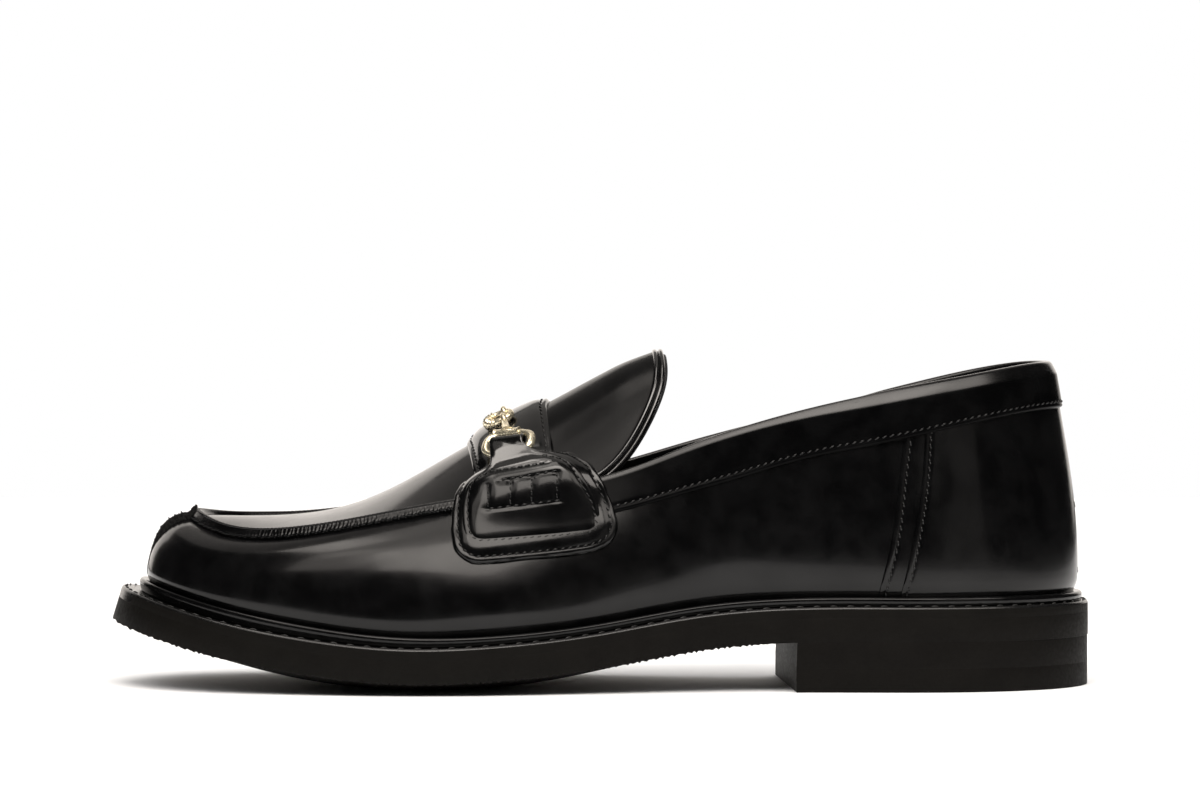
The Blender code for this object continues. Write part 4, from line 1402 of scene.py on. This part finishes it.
def tabNet(hand):  # the fold round the bit, then the panel, each point with its place and way down
    share = np.linspace(0, 1, 9)
    axes = bitLoop(hand)[0]
    crest = bitSpot(hand, *tab["crest"])
    x = tab["neckFront"] + (tab["neckBack"] - tab["neckFront"]) * share
    side = (x - crest[0]) / axes[1, 0]
    net = []
    for turn in np.radians(tab["turns"]):
        fold = points(tab["foldRadius"] * np.cos(turn), side, -hand * tab["foldRadius"] * np.sin(turn))
        net.append(np.concatenate([fold @ axes + crest, points(x, 10.0, 0.0)[:, :2]], axis=1))
    count = len(tab["rows"])
    for row in cubic(np.arange(count), tab["rows"])(np.linspace(0, count - 1, 43)):
        x = row[1] + (row[3] - row[1]) * share
        down = row[0] + (row[2] - row[0]) * share
        spot = overLeather(x, strap["middle"] + hand * down, tabHigh(x, down))
        net.append(np.concatenate([spot, np.stack([x, down], axis=1)], axis=1))
    net = splineNet(np.array(net), *tab["net"])
    return net[..., :3], net[..., 3], net[..., 4]


def makeTab(name, node, hand):
    net, place, down = tabNet(hand)
    out = netOut(net, 1.0)
    face = np.sign(out[int(0.75 * net.shape[0]), net.shape[1] // 2, 1] * hand)
    panelShare = smooth(down, *tab["panelEnds"])
    deep, wide = tab["groove"]

    def high(reach):
        fall = tab["fall"] * panelShare * (1 - smooth(reach, 0.0, tab["fallReach"]))
        tall = tab["neckTall"] + (tab["tall"] - tab["neckTall"]) * panelShare
        made = rounded(reach, 1.0, tab["round"]) * tall - fall
        made = made - deep * panelShare * dip(reach, tab["stitch"], wide)
        return made - quilted(place, down) * smooth(reach, 0.6, 1.4)

    kept(pillow(name, net, face, high, tab["under"]), "tabLeather", [node])
    threadHigh = tab["tall"] - 0.66 * tab["fall"] - tab["threadDrop"]
    path, out = rimPath(net, face, tab["stitch"], threadHigh)
    on = rimOf(down) > tab["threadStart"]
    start = int(np.argmax(on))
    keep = np.arange(start, start + int(on.sum()))
    stitches.append(stitchRow(path[keep], out[keep], *tab["thread"]))
    for key in tab["furrows"]:
        x = np.linspace(tab[key][2], tab[key][3], 40)
        stitches.append(tabRow(hand, x, boxWay(key, x), tab["threads"][key]))
    for spot in tab["boxLines"]:
        ways = np.linspace(boxWay("boxTop", spot) + 0.3, boxWay("boxLow", spot) - 0.3, 30)
        stitches.append(tabRow(hand, np.full(30, spot), ways, tab["threads"]["boxLines"]))


makeTab("tabLateral", "tab_lateral", -1)
makeTab("tabMedial", "tab_medial", 1)
print("tabs made")

# Tongue. Sides: place along the last, then across and up of its near side and of its far side.
tongue = {
    "sides": (
        (0.420, -0.465, 0.725, 0.470, 0.730), (0.500, -0.512, 0.632, 0.518, 0.640),
        (0.601, -0.528, 0.575, 0.560, 0.585),
    ),
    "tip": 19.0,
    "base": -12.0,
    "tipWide": 2.9,
    "tipLong": 2.3,
    "full": 1.7,
    "droop": 1.2,
    "droopEnds": (4.0, 21.0),
    "lining": (0.0, 2.6, 0.8),  # how much longer, how deep under the instep, and how thick
    "shield": (-0.45, 1.7, 1.6),
    "edge": 0.8,
    "groove": (0.45, 1.3, 0.26),  # depth, inset and half width
    "ridge": (0.35, 2.1, 0.55),
    "rollStart": -8.0,
    "rolls": ((0.6, 1.0, 0.75), (2.3, 1.5, 0.78)),  # inset, lift and radius
    "round": 0.58,
}
tongueRows = np.array(tongue["sides"])
tongueLine = cubic(
    -along(tongueRows[:, 0]),
    np.stack([
        across(tongueRows[:, 1]), last["back"] * tongueRows[:, 2],
        across(tongueRows[:, 3]), last["back"] * tongueRows[:, 4],
    ], axis=1),
)


def instep(x, side):  # outer face of the tongue
    line = tongueLine(-x)
    near = points(x, line[..., 0], line[..., 1])
    far = points(x, line[..., 2], line[..., 3])
    top = ridge(x) - points(0.0, 0.0, tongue["droop"] * smooth(x, *tongue["droopEnds"]))
    return np.where(
        (side <= 0)[..., None],
        arch(near, top, 1 + side, tongue["round"]),
        arch(far, top, 1 - side, tongue["round"]),
    )


def tongueNet(grow, drop):
    shares = lines(70.0, 0.2, 0.9)
    ups = np.sort(1 - lines(96.0, 0.16, 0.9))
    side = 2 * shares - 1
    end = (1 - np.abs(side) ** tongue["tipWide"]) ** (1 / tongue["tipLong"])
    end = tongue["base"] + (tongue["tip"] + grow - tongue["base"]) * end
    end = end + tongue["full"] * dip(np.abs(side), 0.45, 0.25)
    start = last["throat"] + 5 * gap
    x = start + (end - start)[:, None] * ups[None, :]
    net = instep(x, np.broadcast_to(side[:, None], x.shape))
    out = netOut(net, 1.0)
    face = np.sign(out[..., 2].sum())
    return net - out * face * drop, face


def makeTongue():
    grow, drop, thin = tongue["lining"]
    net, face = tongueNet(grow, drop)
    piece = pillow("tongueLining", net, face, lambda reach: rounded(reach, thin, tongue["edge"]))
    kept(piece, "lining")
    grow, drop, tall = tongue["shield"]
    net, face = tongueNet(grow, drop)

    def high(reach):
        made = rounded(reach, tall, tongue["edge"])
        for sign, key in ((-1, "groove"), (1, "ridge")):
            deep, inset, wide = tongue[key]
            made = made + sign * deep * dip(reach, inset, wide)
        return made

    kept(pillow("tongueShield", net, face, high), "softLeather", ["tongue"])
    rolls = []
    for inset, lift, radius in tongue["rolls"]:
        path, out = rimPath(net, face, inset, lift)
        shown = path[:, 0] > tongue["rollStart"]
        order = np.roll(np.arange(len(path)), -int(np.argmin(shown)))
        keep = order[shown[order]]
        rolls.append(tube("tongueRoll", path[keep], radius, out[keep[0]], 10))
    kept(united("tongueRolls", rolls), "rollLeather")


makeTongue()
print("tongue made")

# Sole: thicknesses and the crown of the forefoot.
sole = {
    "welt": 3.5,
    "thick": 6.7,
    "crown": 4.4,
    "crownFront": -140.0,
    "crownBack": 30.0,
    "crownFade": 60.0,
    "crownPower": 2.4,
    "middle": (-100.0, 112.0),
    "rounds": (0.1, 0.12),
    "tuck": 0.4,  # how far its top runs up into the welt
    "count": 900,
}
soleWays = np.linspace(0, 1, sole["count"], endpoint=False)


def spine(plan, front, back):  # middle line that a slab's faces run in to
    x = np.clip(plan[:, 0], front, back)
    return np.stack([x, 0.0 * x + 1.0], axis=1)


def slab(name, plan, middle, rows):  # rows: inset, share of the way to the middle, face
    step = unit(np.roll(plan, -1, axis=0) - np.roll(plan, 1, axis=0))
    inner = np.stack([-step[:, 1], step[:, 0]], axis=1)
    if ((middle - plan) * inner).sum() < 0:
        inner = -inner
    net = []
    for inset, share, face in rows:
        spot = plan + inner * inset
        spot = spot + (middle - spot) * share
        net.append(face(spot[:, 0], spot[:, 1], 1 - share))
    net = np.stack(net, axis=1)
    return sewn(netSheet(name, np.concatenate([net, net[:1]])), 0.01)


def soleBottom(x, y, side):
    front = np.clip((x - sole["crownFront"]) / sole["crownFade"], 0, 1)
    fore = front * np.clip((sole["crownBack"] - x) / sole["crownFade"], 0, 1)
    fore = fore * fore * (3 - 2 * fore)
    low = soleLayer(x, y, sole["welt"] + gap + sole["thick"])
    low[..., 2] -= sole["crown"] * fore * (1 - np.abs(side) ** sole["crownPower"])
    low[..., 2] = np.maximum(low[..., 2], 0.0)
    return low


def layer(depth):  # a face this deep under the welt's upper face
    return lambda x, y, side: soleLayer(x, y, depth)


def level(high):  # a flat face at this height
    return lambda x, y, side: points(x, y, high)


def edgeRows(top, bottom, topRound, lowRound):  # top face, edge with rounded corners, bottom face
    rows = [(0.0, share, top(0.0)) for share in (1.0, 0.8, 0.5, 0.2)]
    for turn in np.linspace(0, 0.5 * np.pi, 4):
        rows.append((topRound * (1 - math.sin(turn)), 0.0, top(topRound * (1 - math.cos(turn)))))
    for turn in np.linspace(0, 0.5 * np.pi, 4):
        rows.append((lowRound * (1 - math.cos(turn)), 0.0, bottom(lowRound * (1 - math.sin(turn)))))
    for share in (0.02, 0.05, 0.1, 0.2, 0.32, 0.45, 0.6, 0.75, 0.9, 1.0):
        rows.append((lowRound, share, bottom(0.0)))
    return rows


def raised(high):  # bottom of the outsole, its rim a little ragged in front of the heel
    def face(x, y, side):
        low = soleBottom(x, y, side)
        rag = 0.22 * np.sin(x * 2.9 + 1.3 * np.sin(x * 0.7)) + 0.2 * np.sin(x * 5.3 + y)
        rag = rag + 0.1 * np.sin(x * 9.1)
        rag = rag * smooth(side, 0.93, 0.99) * (1 - smooth(x, 40.0, 56.0))
        low[..., 2] += high + np.maximum(rag, -low[..., 2])
        return low

    return face


def makeOutsole():
    plan = outline(soleWays, 0.0)
    under = sole["welt"] + gap - sole["tuck"]
    rows = edgeRows(lambda down: layer(under + down), raised, *sole["rounds"])
    piece = slab("outsoleBody", plan, spine(plan, *sole["middle"]), rows)
    kept(piece, "rubber", ["outsole"], 50)


makeOutsole()

# Welt: inset from the sole's edge and depth of each corner, then how far it runs in under the upper.
welt = {
    "corners": (
        (3.0, 0.0), (1.6, 0.0), (0.65, 0.0), (0.37, 0.07), (0.09, 0.6), (0.03, 0.8), (0.03, 2.7),
        (0.03, 3.6), (0.6, 3.7),
    ),
    "hidden": 7.0,
    "stitch": 1.15,
    "thread": (5.05, (1.2, 0.28, 0.4), 0.3),
}


def makeWelt():
    corners = []
    for inset, deep in welt["corners"]:
        rim = outline(soleWays, inset)
        corners.append(soleLayer(rim[:, 0], rim[:, 1], deep))
    inner = footPlan(soleWays, -welt["hidden"])
    for deep in (sole["welt"], 0.0):
        corners.append(soleLayer(inner[:, 0], inner[:, 1], deep))
    piece = strip("weltStrip", np.stack(corners, axis=1), True)
    kept(piece, "rubber", ["welt"], 50)
    piece.data.materials.append(finish["weltTop"])
    for face in piece.data.polygons:
        face.material_index = int(face.normal.z > 0.25)
    path = outline(np.append(soleWays, 1.0), welt["stitch"])
    path = soleLayer(path[:, 0], path[:, 1], -0.05)
    return stitchRow(path, np.tile(upward, (len(path), 1)), *welt["thread"])


weltStitches = makeWelt()
print("sole made")

# Rand between welt and wall: shares of the reach and of the height of its corners.
rand = {
    "reach": (0.3, 2.1),
    "tall": (2.8, 4.1),
    "tallEnds": (20.0, 120.0),
    "corners": (
        (-0.6, 0.0), (-0.6, 0.8), (-0.1, 0.95), (0.35, 1.0), (0.62, 0.97), (0.82, 0.89), (0.95, 0.74),
        (1.0, 0.5), (0.98, 0.2), (0.9, 0.0),
    ),
}


def makeRand():
    rises = np.linspace(0.0, 0.35, 60)
    face = wall(soleWays[:, None], rises[None, :])
    fall = face[..., 2] - soleTop(face[..., 0])
    low, high = rand["tall"]
    tall = low + (high - low) * smooth(-rib["foot"](soleWays)[:, 0], *rand["tallEnds"])
    start, reach = rand["reach"]
    rows = []
    for out, up in rand["corners"]:
        rise = np.array([np.interp(gap + up * t, f, rises) for f, t in zip(fall, tall)])
        spot = wall(soleWays, rise) + outward(soleWays) * (start + out * reach)
        rows.append(points(spot[:, 0], spot[:, 1], soleTop(spot[:, 0]) + up * tall))
    kept(strip("weltRand", np.stack(rows, axis=1), True), "leather", ["welt_bead"])


makeRand()

# Heel: places of its breast on the outer and the inner side, and the height of its wearing layer.
heel = {
    "breast": (58.8, 54.4),
    "lift": 7.1,
    "inset": (0.02, 0.18),
    "insetEnds": (118.0, 140.0),
    "middle": (72.0, 118.0),
}


def makeHeel():
    lateral, medial = (
        float(np.interp(-place, -outline(ways, 0.0)[:, 0], ways))
        for place, ways in zip(heel["breast"], (lateralWays, medialWays))
    )
    ways = np.linspace(lateral, medial - 1.0, 260)
    low, high = heel["inset"]
    curve = outline(ways, low + (high - low) * smooth(outline(ways, 0.0)[:, 0], *heel["insetEnds"]))
    share = np.linspace(0, 1, 60)[1:-1, None]
    plan = np.concatenate([curve, curve[-1] + (curve[0] - curve[-1]) * share])
    middle = spine(plan, *heel["middle"])
    deep = sole["welt"] + 2 * gap + sole["thick"]
    lift = heel["lift"]
    rows = edgeRows(lambda down: layer(deep - 0.5 + down), lambda high: level(lift + high), 0.05, 0.05)
    kept(slab("heelStack", plan, middle, rows), "rubber", ["heel_stack"], 45)
    rows = edgeRows(lambda down: level(lift + 0.1 - down), level, 0.05, 0.3)
    kept(slab("heelLift", plan, middle, rows), "rubber", ["heel_top_lift"], 45)


makeHeel()

# Sock that covers the insole.
sock = {"thick": 3.0, "inset": 2.0, "middle": (-90.0, 105.0)}


def makeSock():
    plan = footPlan(soleWays, -sock["inset"] - 3 * gap)
    top = -gap - sock["thick"]
    rows = edgeRows(lambda down: layer(top + down), lambda high: layer(-gap - high), 0.8, 0.3)
    kept(slab("sock", plan, spine(plan, *sock["middle"]), rows), "lining", ["insole"])


makeSock()

# Bar tacks at the back of the heel: heights above the floor, then the size of one thread.
tack = {"heights": (54.3, 34.5), "apart": 0.55, "proud": 0.62, "size": (1.9, 0.34, 0.5)}


def makeTacks():
    rises = np.linspace(0.02, 0.98, 300)
    ways = np.zeros_like(rises)
    back = dressedWall(ways, rises)
    out = wallOut(ways, rises)
    heights = np.array([high + tack["apart"] * row for high in tack["heights"] for row in (-1, 0, 1)])
    picks = np.abs(back[:, 2][None] - heights[:, None]).argmin(axis=1)
    spots = back[picks] + out[picks] * tack["proud"]
    step = np.tile((0.0, 1.0, 0.0), (len(picks), 1))
    stitches.append(stitchSet(spots, step, out[picks], tack["size"], 0.0))


makeTacks()
kept(stitchMesh("weltStitches", [weltStitches]), "weltThread")
kept(stitchMesh("stitches", stitches), "thread")
print("heel and stitches made")


# Stage, camera and light.
stage = {
    "camera": (0.0, -1.96, 0.149),
    "pitch": 1.826,
    "lens": 193.17,
    "sensor": 36.0,
    "far": 50.0,
    "floor": (0.7, -0.46, 1.2),  # half its width, its front and its back
    "warmth": (1.0, 0.935, 0.872),  # colour of the panels that the gloss shows
    "panels": (  # name, place, aim, size, brightness, and whether the gloss shows it
        ("key", (0.05, -0.94, 1.17), (0.0, 0.0, 0.05), (0.75, 0.58), 7.0, True),
        ("keyRight", (0.74, -0.76, 1.2), (0.0, 0.0, 0.05), (0.66, 0.58), 4.4, True),
        ("keySide", (-0.5, -0.8, 1.23), (0.0, 0.0, 0.05), (0.45, 0.62), 2.4, True),
        ("top", (-0.26, -0.32, 1.45), (-0.26, 0.0, 0.05), (0.62, 0.8), 2.15, True),
        ("left", (-0.45, -0.13, 1.31), (0.0, 0.0, 0.05), (0.5, 0.22), 4.6, True),
        ("ceiling", (0.0, 0.8, 1.5), (0.0, 0.0, 0.05), (2.0, 1.5), 0.36, True),
        ("behind", (0.0, 1.9, 0.6), (0.0, 0.0, 0.1), (3.0, 1.2), 1.4, True),
        ("card", (0.8, -1.26, 0.35), (0.0, 0.0, 0.05), (0.66, 0.8), 0.26, True),
        ("fill", (0.0, -1.3, 2.1), (0.0, 0.2, 0.0), (4.0, 2.6), 2.3, False),
        ("fillBack", (0.0, 1.6, 2.2), (0.0, 0.8, 0.0), (4.0, 2.0), 1.3, False),
    ),
}


def makeFloor():
    chosen()
    bpy.ops.mesh.primitive_plane_add(size=1.0)
    floor = bpy.context.object
    floor.name = "floor"
    half, front, back = stage["floor"]
    spots = [(-half, front, 0.0), (half, front, 0.0), (-half, back, 0.0), (half, back, 0.0)]
    floor.data.vertices.foreach_set("co", np.array(spots).ravel())
    floor.data.update()
    material, shader, spot = newFinish("floorWhite")
    setSockets(shader, {"Base Color": (0.9, 0.9, 0.9, 1.0), "Roughness": 0.7, "Specular IOR Level": 0.2})
    floor.data.materials.append(material)


def makeWorld():  # white to the camera, nearly black to everything else
    world = bpy.data.worlds.new("studio")
    bpy.context.scene.world = world
    world.use_nodes = True
    seen = Sock(world.node_tree).node("ShaderNodeLightPath")
    shade = seen.mixed((0.012, 0.012, 0.012), (1.0, 1.0, 1.0))
    setSockets(world.node_tree.nodes["Background"], {"Color": shade})


def panel(name, place, aim, size, glow, shown):
    light = bpy.data.lights.new(name, "AREA")
    light.shape = "RECTANGLE"
    light.size = size[0]
    light.size_y = size[1]
    light.energy = glow * math.pi * size[0] * size[1]
    if shown:
        light.color = stage["warmth"]
    lamp = bpy.data.objects.new(name, light)
    bpy.context.scene.collection.objects.link(lamp)
    lamp.location = place
    lamp.rotation_euler = (Vector(aim) - Vector(place)).to_track_quat("-Z", "Y").to_euler()
    lamp.visible_camera = False
    lamp.visible_glossy = shown


makeFloor()
makeWorld()
for settings in stage["panels"]:
    panel(*settings)
camera = bpy.data.objects.new("camera", bpy.data.cameras.new("camera"))
bpy.context.scene.collection.objects.link(camera)
camera.data.lens = stage["lens"]
camera.data.sensor_width = stage["sensor"]
camera.data.clip_end = stage["far"]
camera.location = stage["camera"]
camera.rotation_euler = (math.radians(90 - stage["pitch"]), 0.0, 0.0)
bpy.context.scene.camera = camera
bpy.context.scene.view_settings.view_transform = "Standard"
print("stage made")
